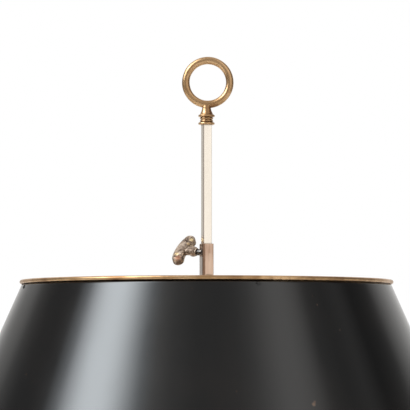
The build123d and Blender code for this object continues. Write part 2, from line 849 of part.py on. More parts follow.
lock_nut_face = sqrt(hub_inner_radius**2 - (lock_nut_flats / sqrt(3)) ** 2) - slip_gap
with BuildPart() as arm_lock_nuts:
    for angle in arm_angles:
        with BuildSketch(outward_plane(angle, arm_height).offset(lock_nut_face - lock_nut_thickness)):
            RegularPolygon(lock_nut_flats / 2, 6, major_radius=False)
            Circle(arm_radius + fit_gap, mode=Mode.SUBTRACT)
        extrude(amount=lock_nut_thickness)
arm_lock_nuts.part.label = "arm_lock_nuts"
export_step(arm_lock_nuts.part, "parts/arm_lock_nuts.step")

# ================================================================== rod, its socket and the ring
with BuildPart() as rod_socket:
    with BuildSketch(turning_plane()):
        with BuildLine():
            sole = Polyline(
                (0, cap_top), (socket_foot_radius, cap_top), (socket_foot_radius, cap_top + socket_edge)
            )
            hollow = RadiusArc(sole @ 1, (socket_radius, cap_top + socket_sweep), socket_sweep)
            side = Line(hollow @ 1, (socket_radius, socket_top - 2 * socket_bead))
            bead = ThreePointArc(
                side @ 1,
                (socket_radius + socket_bead_proud, socket_top - socket_bead),
                (socket_radius, socket_top),
            )
            Polyline(bead @ 1, (0, socket_top), (0, cap_top))
        make_face()
    revolve(axis=Axis.Z)
    with BuildSketch(Plane.XY.offset(cap_top)):
        Circle(stem_radius + fit_gap)
    extrude(amount=socket_height - socket_pocket - socket_web, mode=Mode.SUBTRACT)
    with BuildSketch(Plane.XY.offset(rod_foot)):
        Rectangle(rod_side + 2 * slip_gap, rod_side + 2 * slip_gap)
    extrude(amount=socket_pocket, mode=Mode.SUBTRACT)
rod_socket.part.label = "rod_socket"
export_step(rod_socket.part, "parts/rod_socket.step")

with BuildPart() as square_rod:
    with BuildSketch(Plane.XY.offset(rod_foot)):
        RectangleRounded(rod_side, rod_side, rod_round)
    extrude(amount=rod_length)
    with BuildSketch(Plane.XY.offset(rod_top)):
        Circle(rod_spigot_radius)
    extrude(amount=rod_spigot)
square_rod.part.label = "square_rod"
export_step(square_rod.part, "parts/square_rod.step")

rings_foot = rod_top + collar_flange
rings_top = rings_foot + 2 * collar_ring
flange_top = rings_top + collar_flange
neck_top = flange_top + collar_neck
ring_centre = neck_top - ring_sink + ring_outer_radius
ring_foot_centre = ring_centre - ring_outer_radius + ring_tube_radius
ring_facing = radians(ring_yaw)
ring_axis = Axis((0, 0, ring_centre), (sin(ring_facing), -cos(ring_facing), 0))
ring_side = Vector(0, 0, 1).cross(ring_axis.direction)
flange_flat = collar_flange_radius - collar_flange / 2


def collar_disc(foot):
    """Draw one flat disc of the collar, out from the waist, round its edge and back."""
    sole = Line((collar_waist_radius, foot), (flange_flat, foot))
    edge = ThreePointArc(
        sole @ 1,
        (collar_flange_radius, foot + collar_flange / 2),
        (flange_flat, foot + collar_flange),
    )
    Line(edge @ 1, (collar_waist_radius, foot + collar_flange))


with BuildPart() as ring_finial:
    with BuildSketch(turning_plane()):
        with BuildLine():
            Line((0, rod_top), (collar_waist_radius, rod_top))
            collar_disc(rod_top)
            for foot in (rings_foot, rings_foot + collar_ring):
                ThreePointArc(
                    (collar_waist_radius, foot),
                    (collar_ring_radius, foot + collar_ring / 2),
                    (collar_waist_radius, foot + collar_ring),
                )
            collar_disc(rings_top)
            neck = RadiusArc(
                (collar_waist_radius, flange_top), (collar_neck_radius, neck_top), collar_sweep
            )
            Polyline(
                neck @ 1, (collar_neck_radius, ring_foot_centre), (0, ring_foot_centre), (0, rod_top)
            )
        make_face()
    revolve(axis=Axis.Z)
    with BuildSketch(Plane(origin=(0, 0, ring_centre), x_dir=(0, 0, 1), z_dir=ring_side)):
        with Locations(Location((ring_outer_radius - ring_tube_radius, 0), 180)):
            Circle(ring_tube_radius)
    revolve(axis=ring_axis)
    with BuildSketch(Plane.XY.offset(rod_top)):
        Circle(rod_spigot_radius + fit_gap)
    extrude(amount=rod_spigot + spigot_relief, mode=Mode.SUBTRACT)
ring_finial.part.label = "ring_finial"
export_step(ring_finial.part, "parts/ring_finial.step")

# ================================================================== shade
down_slope = (sin(shade_slant), -cos(shade_slant))
outward = (cos(shade_slant), sin(shade_slant))


def slope_point(below, inwards):
    """Radius and height of a point below the rim and inside the shell's outer face, square to it."""
    along = below / cos(shade_slant)
    return (
        shell_top_radius + down_slope[0] * along - outward[0] * inwards,
        rim_level + down_slope[1] * along - outward[1] * inwards,
    )


def bead_centre(below):
    """Radius and height of a bead's centre at the shell's edge."""
    return slope_point(below, 0)[0] + bead_offset, rim_level - below


def make_shell():
    """The painted sheet cone, let into both beads, with a hole for each rivet."""
    top = bead_radius - bead_grip
    with BuildPart() as shell:
        with BuildSketch(turning_plane()):
            Polygon(
                slope_point(top, 0),
                slope_point(shade_height - top, 0),
                slope_point(shade_height - top, shell_wall),
                slope_point(top, shell_wall),
                align=None,
            )
        revolve(axis=Axis.Z)
        for angle in spider_angles:
            with BuildSketch(rivet_plane(angle)):
                Circle(rivet_radius + slip_gap)
            extrude(amount=2 * shell_wall, both=True, mode=Mode.SUBTRACT)
    shell.part.label = "shade_shell"
    export_step(shell.part, "parts/shade_shell.step")


def make_bead(name, below):
    """A brass bead outside the shell's edge, rebated so that the edge is let into it."""
    top = bead_radius - bead_grip - slip_gap
    with BuildPart() as bead:
        with BuildSketch(turning_plane()):
            with Locations(bead_centre(below)):
                Circle(bead_radius)
            Polygon(
                slope_point(top, -slip_gap),
                slope_point(shade_height - top, -slip_gap),
                slope_point(shade_height - top, 2 * bead_radius),
                slope_point(top, 2 * bead_radius),
                align=None,
                mode=Mode.SUBTRACT,
            )
        revolve(axis=Axis.Z)
    bead.part.label = name
    export_step(bead.part, f"parts/{name}.step")


def rivet_plane(angle):
    """The plane on the shell's outer face at a rivet, facing straight out of the slope."""
    turn = radians(angle)
    radius, height = slope_point(rivet_below_rim, 0)
    return Plane(
        origin=(radius * cos(turn), radius * sin(turn), height),
        x_dir=(-sin(turn), cos(turn), 0),
        z_dir=(outward[0] * cos(turn), outward[0] * sin(turn), outward[1]),
    )


make_shell()
make_bead("shade_top_bead", 0.0)
make_bead("shade_bottom_bead", shade_height)

plate_level = sleeve_foot - spider_thickness / 2
tab_depth = shell_wall + loose_gap + spider_thickness / 2
tab_top_radius = slope_point(0, tab_depth)[0] + tan(shade_slant) * (
    slope_point(0, tab_depth)[1] - plate_level
)
with BuildPart() as spider:
    for angle in spider_angles:
        plane = radial_plane(angle)
        with BuildLine(plane) as bend:
            FilletPolyline(
                (0, plate_level),
                (tab_top_radius, plate_level),
                slope_point(tab_below_rim, tab_depth),
                radius=spider_bend,
            )
        with BuildSketch(Plane(origin=(0, 0, plate_level), x_dir=plane.z_dir, z_dir=plane.x_dir)):
            Rectangle(spider_width, spider_thickness)
        sweep(path=bend.line)
    with BuildSketch(Plane.XY.offset(plate_level - spider_thickness / 2)):
        Rectangle(spider_plate, spider_plate)
    extrude(amount=spider_thickness)
    with BuildSketch(Plane.XY.offset(plate_level - spider_thickness)):
        Rectangle(rod_side + 2 * slip_gap, rod_side + 2 * slip_gap)
    extrude(amount=2 * spider_thickness, mode=Mode.SUBTRACT)
    for angle in spider_angles:
        with BuildSketch(rivet_plane(angle).offset(-tab_depth)):
            Circle(rivet_radius + slip_gap)
        extrude(amount=spider_thickness, both=True, mode=Mode.SUBTRACT)
spider.part.label = "spider"
export_step(spider.part, "parts/spider.step")

rivet_length = shell_wall + loose_gap + spider_thickness + 2 * slip_gap
with BuildPart() as spider_rivets:
    for angle in spider_angles:
        with BuildSketch(rivet_plane(angle).offset(slip_gap - rivet_length)):
            Circle(rivet_radius)
        extrude(amount=rivet_length)
        for face in (slip_gap, slip_gap - rivet_length - rivet_head):
            with BuildSketch(rivet_plane(angle).offset(face)):
                Circle(rivet_head_radius)
            extrude(amount=rivet_head)
spider_rivets.part.label = "spider_rivets"
export_step(spider_rivets.part, "parts/spider_rivets.step")

# ================================================================== clamp screw and its sleeve
# The screw enters the sleeve's left rear corner and bears on the rod's edge.
screw_tilt = radians(screw_rise)
screw_direction = Vector(-cos(screw_tilt) * sqrt(0.5), cos(screw_tilt) * sqrt(0.5), sin(screw_tilt))
screw_origin = Vector(0, 0, sleeve_foot + screw_height)
screw_plane = Plane(origin=screw_origin, z_dir=screw_direction)
level_across = Vector(sqrt(0.5), sqrt(0.5), 0)
upright_across = level_across.cross(screw_direction)
key_long = upright_across * cos(radians(key_lean)) + level_across * sin(radians(key_lean))
key_plane = Plane(origin=screw_origin, x_dir=key_long, z_dir=key_long.cross(screw_direction))
screw_axis = Axis(screw_origin, screw_direction)

with BuildPart() as shade_sleeve:
    with BuildSketch(Plane.XY.offset(sleeve_foot)):
        RectangleRounded(sleeve_side, sleeve_side, sleeve_round)
    extrude(amount=sleeve_length)
    fillet(shade_sleeve.faces().sort_by(Axis.Z)[-1].edges(), sleeve_round / 2)
    with BuildSketch(screw_plane.offset(boss_start)):
        Circle(boss_radius)
    extrude(amount=boss_end - boss_start)
    with BuildSketch(Plane.XY.offset(sleeve_foot)):
        Rectangle(rod_side + 2 * slip_gap, rod_side + 2 * slip_gap)
    extrude(amount=sleeve_length, mode=Mode.SUBTRACT)
    with BuildSketch(screw_plane.offset(rod_side / 2)):
        Circle(screw_radius + fit_gap)
    extrude(amount=boss_end, mode=Mode.SUBTRACT)
shade_sleeve.part.label = "shade_sleeve"
export_step(shade_sleeve.part, "parts/shade_sleeve.step")

rod_edge = rod_side * sqrt(0.5) - rod_round * (sqrt(2) - 1)
screw_tip = (rod_edge + screw_tip_radius * sin(screw_tilt) + screw_tip_gap) / cos(screw_tilt)
with BuildPart() as clamp_screw:
    with BuildSketch(key_plane):
        Polygon(
            (0, screw_tip),
            (screw_tip_radius, screw_tip),
            (screw_radius, screw_tip + screw_radius - screw_tip_radius),
            (screw_radius, screw_end),
            (0, screw_end),
            align=None,
        )
    revolve(axis=screw_axis)
clamp_screw.part.label = "clamp_screw"
export_step(clamp_screw.part, "parts/clamp_screw.step")

# The key is a kidney-shaped casting: two lobes joined by a bulging back and a hollow front.
back_centre = (
    (lobe_offset**2 + lobe_centre**2 - (key_back - lobe_radius) ** 2)
    / (2 * (lobe_centre - key_back + lobe_radius))
)
back_radius = key_back - back_centre
back_reach = lobe_radius / (back_radius - lobe_radius)
hollow_span = lobe_radius + key_hollow_radius
hollow_drop = sqrt(hollow_span**2 - lobe_offset**2)
hollow_reach = lobe_radius / hollow_span
back_touch = (
    lobe_offset * (1 + back_reach),
    lobe_centre + (lobe_centre - back_centre) * back_reach,
)
hollow_touch = (lobe_offset * (1 - hollow_reach), lobe_centre - hollow_drop * hollow_reach)
hollow_top = lobe_centre - hollow_drop + key_hollow_radius
with BuildPart() as clamp_key:
    with BuildSketch(key_plane):
        with BuildLine():
            ThreePointArc(
                (-back_touch[0], back_touch[1]), (0, key_back), (back_touch[0], back_touch[1])
            )
            for side in (-1, 1):
                ThreePointArc(
                    (side * back_touch[0], back_touch[1]),
                    (side * (lobe_offset + lobe_radius), lobe_centre),
                    (side * hollow_touch[0], hollow_touch[1]),
                )
            ThreePointArc(
                (-hollow_touch[0], hollow_touch[1]),
                (0, hollow_top),
                (hollow_touch[0], hollow_touch[1]),
            )
        make_face()
    extrude(amount=key_thickness / 2, both=True)
    plate_faces = clamp_key.faces().sort_by(Axis(screw_origin, key_plane.z_dir))
    fillet(plate_faces[0].edges() + plate_faces[-1].edges(), key_round)
    for side in (-1, 1):
        for face in (key_thickness / 2, -key_thickness / 2 - volute_proud):
            with BuildSketch(key_plane.offset(face)):
                with Locations((side * lobe_offset, lobe_centre)):
                    Circle(volute_radii[-1])
                with BuildLine() as scroll:
                    start = (side * (lobe_offset - volute_radii[0]), lobe_centre)
                    turn = 1
                    reach = volute_radii[0]
                    for radius in volute_radii[1:]:
                        end = (side * (lobe_offset + turn * radius), lobe_centre)
                        centre = (start[0] + end[0]) / 2
                        span = abs(end[0] - start[0]) / 2
                        ThreePointArc(start, (centre, lobe_centre + turn * span), end)
                        start = end
                        turn = -turn
                trace(line_width=volute_width)
            extrude(amount=volute_proud)
    with BuildSketch(key_plane):
        with BuildLine():
            face_edge = Line((0, key_hub_start), (key_hub_face_radius, key_hub_start))
            knuckle = ThreePointArc(
                face_edge @ 1,
                (key_hub_radius, (key_hub_start + key_hub_end) / 2),
                (key_hub_face_radius, key_hub_end),
            )
            Polyline(
                knuckle @ 1,
                (key_thickness / 2, hollow_top + key_sink),
                (0, hollow_top + key_core_sink),
                (0, key_hub_start),
            )
        make_face()
    revolve(axis=screw_axis)
    with BuildSketch(screw_plane.offset(key_hub_start)):
        Circle(screw_radius + fit_gap / 2)
    extrude(amount=screw_end - key_hub_start + fit_gap, mode=Mode.SUBTRACT)
clamp_key.part.label = "clamp_key"
export_step(clamp_key.part, "parts/clamp_key.step")
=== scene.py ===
"""Dresses the bouillotte lamp: finishes for every piece, finer shapes for ring, shade, spider, key.

Metres, +Z up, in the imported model's own frame. It is laid out as an add-on and run as a script.
"""

from math import atan2, cos, pi, radians, sin, sqrt

import bmesh
import bpy
from bpy.props import FloatProperty, FloatVectorProperty, IntProperty, PointerProperty
from bpy.types import Operator, Panel, PropertyGroup
from mathutils import Matrix, Vector, noise


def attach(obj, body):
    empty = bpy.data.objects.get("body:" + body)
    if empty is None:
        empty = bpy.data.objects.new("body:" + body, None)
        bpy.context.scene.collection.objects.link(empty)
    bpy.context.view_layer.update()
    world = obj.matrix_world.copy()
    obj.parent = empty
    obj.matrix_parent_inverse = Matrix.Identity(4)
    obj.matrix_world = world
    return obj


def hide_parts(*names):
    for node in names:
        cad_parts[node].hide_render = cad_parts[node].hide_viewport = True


bl_info = {
    "name": "Bouillotte Lamp",
    "version": (1, 0, 0),
    "blender": (4, 5, 0),
    "location": "3D View > Sidebar > Lamp",
    "description": "Gives the bouillotte lamp its finishes and its studio",
    "category": "Object",
}

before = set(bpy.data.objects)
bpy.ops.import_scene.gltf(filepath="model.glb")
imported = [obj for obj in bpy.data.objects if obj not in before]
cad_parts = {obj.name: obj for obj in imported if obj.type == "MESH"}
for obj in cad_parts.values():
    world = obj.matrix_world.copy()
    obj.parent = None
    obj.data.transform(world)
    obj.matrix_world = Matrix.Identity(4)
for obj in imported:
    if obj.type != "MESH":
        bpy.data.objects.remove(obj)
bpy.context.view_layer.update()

MM = 0.001
CANDLES = ("1", "2", "3")
IRON_GREY = (0.1, 0.1, 0.1)
# Dark colour laid into occluded hollows: dirt and painted shade.
DIRT_AND_SHADE = (0.03, 0.015, 0.007)
RUST = (0.12, 0.07, 0.045)

# The shade's set-up on its sleeve, in millimetres.
RIM_BELOW_SLEEVE = 4.5
TAB_BELOW_RIM = 9.5
RIVET_BELOW_RIM = 5
ARM_START = 7  # from the rod's axis
PLATE_HOLE = 4.05  # half the side of the plate's square hole
PLATE_HALF = 10
RIVET = (
    (0, -3.6), (2, -3.6), (2, -2.5), (1.5, -2.5), (1.5, 0),
    (2, 0.1), (1.7, 0.6), (1.0, 0.85), (0, 0.9),
)

# The ring's collar, in millimetres.
BORE_RADIUS = 3.05
BORE_DEPTH = 7.5
FLANGE_FLAT = 6.4  # radius of the flanges' flat faces
FLANGE_HEIGHT = 2.4
BEAD_HEIGHT = 2.35
BEAD_SWELL = 0.7  # the bead's round, as a share of half its height
WAIST_RADIUS = 5.4
WAIST_LAP = 0.05  # how far the waist's corners lie clear of the turned rounds
NECK_FOOT_RADIUS = 6.3
NECK_FALL = 2.4  # from the neck's foot radius to its top radius
NECK_HEIGHT = 7.4
NECK_TIP_RADIUS = 3.4
RING_SINK = 1.4  # how far the ring sits down into the neck

# The key's hub, web and scrolls, in millimetres.
HUB_START = [(3.4, 10.0), (3.7, 10.1), (3.75, 10.9), (3.45, 11.2)]
BARREL_CENTRE = (0.2, 13.9)
BARREL_RADIUS = 4.7
BARREL_TURN = 0.62  # half the barrel's arc, in radians
HUB_END = [(3.5, 17.0), (3.7, 17.3), (4.1, 17.9), (4.2, 18.5), (0, 18.6)]
HUB_BORE = [(0, 18.05), (2.05, 18.05), (2.05, 10.0), (3.4, 10.0)]
WEB_START = 18.15  # from the rod's axis
WEB_LENGTH = 4.6
WEB_FOOT = 4.1  # half the web's width at the hub
WEB_SPREAD = 4.4
WEB_HALF_THICKNESS = 3.3
WEB_THINNING = 0.5
DOME = 0.35
DOME_REACH = 4
SCROLL_PITCH = 1.7
SCROLL_HEIGHT = 0.45
SCROLL_MARGIN = 0.9
SCROLL_FADE = 0.8
CAST_GRAIN = 0.12


# ------------------------------------------------------------------ what a user would change
def colour_property(name, description, default):
    """A linear colour in the sidebar."""
    return FloatVectorProperty(
        name=name, description=description, subtype="COLOR", size=3, min=0, max=1, default=default
    )


def length_property(name, description, default):
    """A length in the sidebar, in metres."""
    return FloatProperty(name=name, description=description, unit="LENGTH", min=0, default=default)


def angle_property(name, description, degrees):
    """An angle in the sidebar."""
    default = radians(degrees)
    return FloatProperty(name=name, description=description, subtype="ANGLE", default=default)


class LampFinishes(PropertyGroup):
    """The colours of the lamp's metals, paints and plastics."""

    brass_light: colour_property("Rubbed brass", "Brass where hands rub it", (0.54, 0.345, 0.185))
    brass_mid: colour_property("Brass", "Brass as it has aged", (0.41, 0.245, 0.12))
    brass_dark: colour_property("Dull brass", "Brass in the hollows", (0.25, 0.13, 0.06))
    rod_light: colour_property("Rod", "The rod's worn silver", (0.86, 0.79, 0.70))
    rod_dark: colour_property("Tarnished rod", "The rod where it is dull", (0.62, 0.53, 0.44))
    bronze_light: colour_property("Sleeve", "The sleeve's rubbed bronze", (0.74, 0.54, 0.42))
    bronze_dark: colour_property("Dull sleeve", "The sleeve's dull bronze", (0.36, 0.22, 0.15))
    lacquer: colour_property("Lacquer", "The shade's black lacquer", (0.0015, 0.0015, 0.0017))
    enamel: colour_property("Enamel", "The shade's lining", (0.80, 0.76, 0.66))
    candle: colour_property("Candle tube", "The cream candle tubes", (0.80, 0.71, 0.54))
    opal: colour_property("Opal glass", "The bulbs' glass", (0.90, 0.88, 0.82))


class ShadeDetail(PropertyGroup):
    """The unevenness of the hand-made metal shade."""

    segments: IntProperty(
        name="Segments", description="Facets round the shell", min=48, default=256
    )
    rows: IntProperty(name="Rows", description="Facets down the shell", min=8, default=60)
    wave: length_property("Wave", "How far the sheet wanders from a true cone", 0.12 * MM)
    seam_angle: angle_property("Seam", "Where the sheet's ends lap", 96)
    seam_width: length_property("Seam width", "Width of the lap", 7 * MM)
    seam_step: length_property("Seam step", "How far the lap stands proud", 0.35 * MM)


class RingDetail(PropertyGroup):
    """The carrying ring and its turned neck."""

    outer_radius: length_property("Ring radius", "Outer radius of the ring", 23.8 * MM)
    tube_radius: length_property("Ring thickness", "Radius of the ring's round bar", 3.5 * MM)
    facing: angle_property("Facing", "Turn of the ring round the rod", -17.4)
    lean: angle_property("Lean", "How far the ring leans", 3.0)


class SpiderDetail(PropertyGroup):
    """The shade's four arms."""

    turn: angle_property("Turn", "Turn of the spider on the sleeve", -2.3)
    fall: length_property("Fall", "How far the arms' ends lie under the rim", 1.5 * MM)
    width: length_property("Arm width", "Width of an arm", 9 * MM)
    thickness: length_property("Arm thickness", "Thickness of an arm", 1.6 * MM)


class KeyDetail(PropertyGroup):
    """The cast key: a kidney with two rolled ends on a round hub."""

    height: length_property("Axis height", "Where the screw's line meets the axis", 648.5 * MM)
    rise: angle_property("Rise", "Slope of the screw", 8)
    lean: angle_property("Lean", "Turn of the key from upright", 48.5)
    thickness: length_property("Thickness", "Thickness of the casting", 8 * MM)
    roll_offset: length_property("Roll offset", "Rolled end's centre from the middle", 12.7 * MM)
    roll_place: length_property("Roll place", "Rolled end's centre from the rod's axis", 23.4 * MM)
    roll_radius: length_property("Roll radius", "Radius of a rolled end", 5.3 * MM)
    back: length_property("Back", "The back's highest place from the rod's axis", 30.7 * MM)
    hollow_radius: length_property("Hollow radius", "Radius of the hollow front", 30 * MM)
    edge_round: length_property("Edge", "Rounding of the casting's edges", 2.2 * MM)
    drop: length_property("Drop", "How far the casting hangs off the hub's middle", 0.3 * MM)


class StageSettings(PropertyGroup):
    """The camera."""

    azimuth: angle_property("Azimuth", "Camera's turn round the lamp", -17.4)
    distance: length_property("Distance", "Camera to the lamp's axis", 2.5)
    height: length_property("Height", "Height of the camera", 0.559)
    aim: length_property("Aim", "Height of the picture's middle at the lamp's axis", 0.693)
    aside: length_property("Aside", "How far the lamp's axis stands right of the middle", 1.4 * MM)
    picture: length_property("Picture", "Width of the picture at the lamp's axis", 0.377)


def finishes():
    """The finish colours as they are set."""
    return bpy.context.scene.lamp_finishes


# ------------------------------------------------------------------ materials
class Finish:
    """A material on one Principled shader, with its fields laid out in the piece's own metres."""

    def __init__(self, name, **constants):
        self.material = bpy.data.materials.new(f"lamp_{name}")
        self.material.use_nodes = True
        self.tree = self.material.node_tree
        self.shader = self.tree.nodes["Principled BSDF"]
        for socket, value in constants.items():
            self.shader.inputs[socket.replace("_", " ")].default_value = value
        self.place = self.add("ShaderNodeTexCoord").outputs["Object"]

    def add(self, kind, **settings):
        """A new node with its settings."""
        node = self.tree.nodes.new(kind)
        for setting, value in settings.items():
            setattr(node, setting, value)
        return node

    def join(self, output, socket):
        """A link between two sockets."""
        self.tree.links.new(output, socket)

    def stretched(self, stretch):
        """The piece's own coordinates, with each axis scaled."""
        mapping = self.add("ShaderNodeMapping")
        mapping.inputs["Scale"].default_value = stretch
        self.join(self.place, mapping.inputs["Vector"])
        return mapping.outputs["Vector"]

    def noise(self, scale, detail=4.0, rough=0.55, stretch=(1, 1, 1)):
        """A noise field from 0 to 1."""
        field = self.add("ShaderNodeTexNoise")
        field.inputs["Scale"].default_value = scale
        field.inputs["Detail"].default_value = detail
        field.inputs["Roughness"].default_value = rough
        self.join(self.stretched(stretch), field.inputs["Vector"])
        return field.outputs["Fac"]

    def spread(self, value, low, high, to_low=0.0, to_high=1.0):
        """A value's range stretched onto another, and held there."""
        span = self.add("ShaderNodeMapRange", interpolation_type="SMOOTHSTEP")
        numbers = {"From Min": low, "From Max": high, "To Min": to_low, "To Max": to_high}
        for socket, number in numbers.items():
            span.inputs[socket].default_value = number
        self.join(value, span.inputs["Value"])
        return span.outputs["Result"]

    def maths(self, operation, first, second):
        """A sum or product of a field with a field or a number."""
        node = self.add("ShaderNodeMath", operation=operation)
        self.join(first, node.inputs[0])
        if isinstance(second, (int, float)):
            node.inputs[1].default_value = second
        else:
            self.join(second, node.inputs[1])
        return node.outputs[0]

    def ramp(self, value, stops):
        """Colours laid along a field, as (place, colour) pairs."""
        ramp = self.add("ShaderNodeValToRGB")
        points = ramp.color_ramp.elements
        while len(points) < len(stops):
            points.new(0.5)
        for point, (place, colour) in zip(points, stops):
            point.position = place
            point.color = (*colour, 1.0)
        self.join(value, ramp.inputs["Fac"])
        return ramp.outputs["Color"]

    def blend(self, share, under, over):
        """One colour laid over another by a field."""
        mix = self.add("ShaderNodeMix", data_type="RGBA")
        self.join(share, mix.inputs["Factor"])
        for socket, colour in (("A", under), ("B", over)):
            target = next(s for s in mix.inputs if s.name == socket and s.type == "RGBA")
            if isinstance(colour, bpy.types.NodeSocket):
                self.join(colour, target)
            else:
                target.default_value = (*colour, 1.0)
        return next(s for s in mix.outputs if s.type == "RGBA")

    def hollows(self, distance):
        """1 deep in the hollows and 0 in the open, read from ambient occlusion, so it marks dirt
        and paints shade.
        """
        shade = self.add("ShaderNodeAmbientOcclusion", samples=6)
        shade.inputs["Distance"].default_value = distance
        return self.spread(shade.outputs["AO"], 0.35, 0.9, 1.0, 0.0)

    def bump(self, height, distance):
        """Adds a height field to the surface."""
        bump = self.add("ShaderNodeBump")
        bump.inputs["Distance"].default_value = distance
        self.join(height, bump.inputs["Height"])
        self.join(bump.outputs["Normal"], self.shader.inputs["Normal"])

    def colour(self, output):
        """Sets the surface's colour."""
        self.join(output, self.shader.inputs["Base Color"])

    def rough(self, output):
        """Sets the surface's roughness."""
        self.join(output, self.shader.inputs["Roughness"])


def mixed(first, second, share):
    """A colour between two colours."""
    return tuple(a + (b - a) * share for a, b in zip(first, second))


def aged_metal(
    name,
    dark,
    mid,
    light,
    rough=(0.22, 0.36),
    grain=(1, 1, 1),
    drawn=(1, 1, 1),
    cloud=55.0,
    pits=0.004,
    marks=(),
    scratched=0.12,
):
    """Old metal: cloudy tarnish, dirt and painted shade in the hollows, fine scratches, pits and
    marks at places.
    """
    finish = Finish(name, Metallic=1.0)
    clouds = finish.noise(cloud, detail=3.0, stretch=drawn)
    specks = finish.noise(900.0, detail=2.0)
    scratches = finish.noise(420.0, detail=4.0, rough=0.6, stretch=grain)
    scored = finish.maths("MULTIPLY", finish.maths("SUBTRACT", scratches, 0.5), scratched)
    tone = finish.maths("ADD", clouds, scored)
    surface = finish.ramp(tone, [(0.30, dark), (0.45, mid), (0.64, light)])
    surface = finish.blend(finish.spread(specks, 0.70, 0.78, 0.0, 0.25), surface, dark)
    for place, colour in marks:
        surface = finish.blend(place(finish), surface, colour)
    # Dirt and painted shade: the colour darkens where ambient occlusion finds the surface hidden.
    finish.colour(finish.blend(finish.hollows(2 * MM), surface, mixed(dark, DIRT_AND_SHADE, 0.5)))
    finish.rough(finish.spread(tone, 0.3, 0.7, rough[1], rough[0]))
    finish.bump(finish.maths("ADD", scratches, finish.maths("MULTIPLY", specks, 0.5)), pits * MM)
    return finish.material


def patch(soft, strength, **spans):
    """A mark between two places along each axis named, in millimetres, with soft edges."""

    def place(finish):
        parts = finish.add("ShaderNodeSeparateXYZ")
        finish.join(finish.place, parts.inputs[0])
        unevenness = finish.maths("SUBTRACT", finish.noise(160.0, detail=2.0), 0.5)
        wander = finish.maths("MULTIPLY", unevenness, soft * MM)
        share = None
        for axis, (low, high) in spans.items():
            along = finish.maths("ADD", parts.outputs[axis], wander)
            rise = finish.spread(along, (low - soft / 2) * MM, (low + soft / 2) * MM)
            fall = finish.spread(along, (high - soft / 2) * MM, (high + soft / 2) * MM, 1.0, 0.0)
            inside = finish.maths("MULTIPLY", rise, fall)
            share = inside if share is None else finish.maths("MULTIPLY", share, inside)
        return finish.maths("MULTIPLY", share, strength)

    return place


def spot(x, y, z, radius, strength=1.0):
    """A round mark about a place in millimetres, soft to its middle."""

    def place(finish):
        away = finish.add("ShaderNodeVectorMath", operation="DISTANCE")
        finish.join(finish.place, away.inputs[0])
        away.inputs[1].default_value = (x * MM, y * MM, z * MM)
        return finish.spread(away.outputs["Value"], 0.35 * radius * MM, radius * MM, strength, 0.0)

    return place


def brass():
    """The lamp's turned and cast brass."""
    colours = finishes()
    shades = (colours.brass_dark, colours.brass_mid, colours.brass_light)
    return aged_metal("aged_brass", *shades, rough=(0.27, 0.4))


def rod_silver():
    """The rod's silver, worn along its length by the sleeve, with painted shade down its front left
    corner.
    """
    colours = finishes()
    return aged_metal(
        "rod_silver",
        colours.rod_dark,
        mixed(colours.rod_dark, colours.rod_light, 0.75),
        colours.rod_light,
        rough=(0.22, 0.3),
        grain=(1, 1, 0.03),
        cloud=30.0,
        drawn=(1, 1, 0.2),
        # Painted shade: a dark strip down the rod's front left corner.
        marks=[(patch(0.3, 0.5, X=(-4.4, -3.5), Y=(-5, -3.0)), colours.bronze_dark)],
    )


def sleeve_bronze():
    """The sleeve's pinkish bronze: painted shade at its front corner and left face, a painted
    highlight, a burnt foot.
    """
    colours = finishes()
    foot = lowest("shade_sleeve") / MM
    # Of these, the first greys the left face as worn metal and painted shade, the second is painted
    # shade down the front corner, and the third darkens the boss.
    worn, dark, near_black = (0.56, 0.51, 0.47), (0.16, 0.085, 0.05), (0.06, 0.056, 0.053)
    # The first of these is rubbed metal and a painted highlight down the front face.
    rubbed, burnt = (0.80, 0.63, 0.50), (0.16, 0.11, 0.06)
    return aged_metal(
        "sleeve_bronze",
        colours.bronze_dark,
        mixed(colours.bronze_dark, colours.bronze_light, 0.75),
        colours.bronze_light,
        rough=(0.26, 0.36),
        grain=(1, 1, 0.06),
        cloud=75.0,
        drawn=(1, 1, 0.15),
        marks=[
            # Worn metal and painted shade: the left face greyed.
            (patch(0.6, 0.9, X=(-6, -5), Y=(-4, 6)), worn),
            # Painted shade: a dark strip down the front corner.
            (patch(0.8, 0.85, X=(-6, -3.0), Y=(-6, -3.8)), dark),
            (patch(0.3, 1.0, X=(-20, -5.6), Y=(-20, 20)), near_black),
            # Rubbed metal and a painted highlight: a lighter stripe down the front face.
            (patch(1.6, 0.35, X=(0.5, 2.4), Z=(foot + 3, foot + 22)), rubbed),
            (patch(1.4, 0.7, X=(-2.5, 4.4), Z=(foot - 1, foot + 2.6)), burnt),
        ],
    )


def key_bronze():
    """The cast key: rough from the mould, rubbed bright on its lobes with painted highlights, and a
    spot of painted shade.
    """
    # Rubbed bronze with painted highlights on the lobes.
    rubbed_sheen_gold, rubbed_highlight_gold = (0.72, 0.53, 0.28), (0.90, 0.72, 0.42)
    # The near-black colour here paints a spot of shade on the upper lobe.
    copper, near_black = (0.50, 0.24, 0.15), (0.04, 0.025, 0.015)
    return aged_metal(
        "key_bronze",
        (0.09, 0.062, 0.046),
        (0.31, 0.23, 0.178),
        (0.54, 0.43, 0.34),
        rough=(0.42, 0.55),
        cloud=240.0,
        pits=0.03,
        scratched=0.3,
        marks=[
            # Rubbed bronze and painted highlights: bright spots on the upper and lower lobes.
            (spot(-9.2, 17.3, 661.6, 2.6), rubbed_highlight_gold),
            (spot(-13.0, 16.0, 657.3, 2.2, 0.7), rubbed_sheen_gold),
            (spot(-25.7, 10.3, 647.8, 2.6, 0.8), rubbed_sheen_gold),
            (spot(-25.9, 5.8, 644.4, 3.6, 0.8), copper),
            # Painted shade: a dark spot on the upper lobe.
            (spot(-13.5, 17.6, 659.6, 1.3), near_black),
        ],
    )


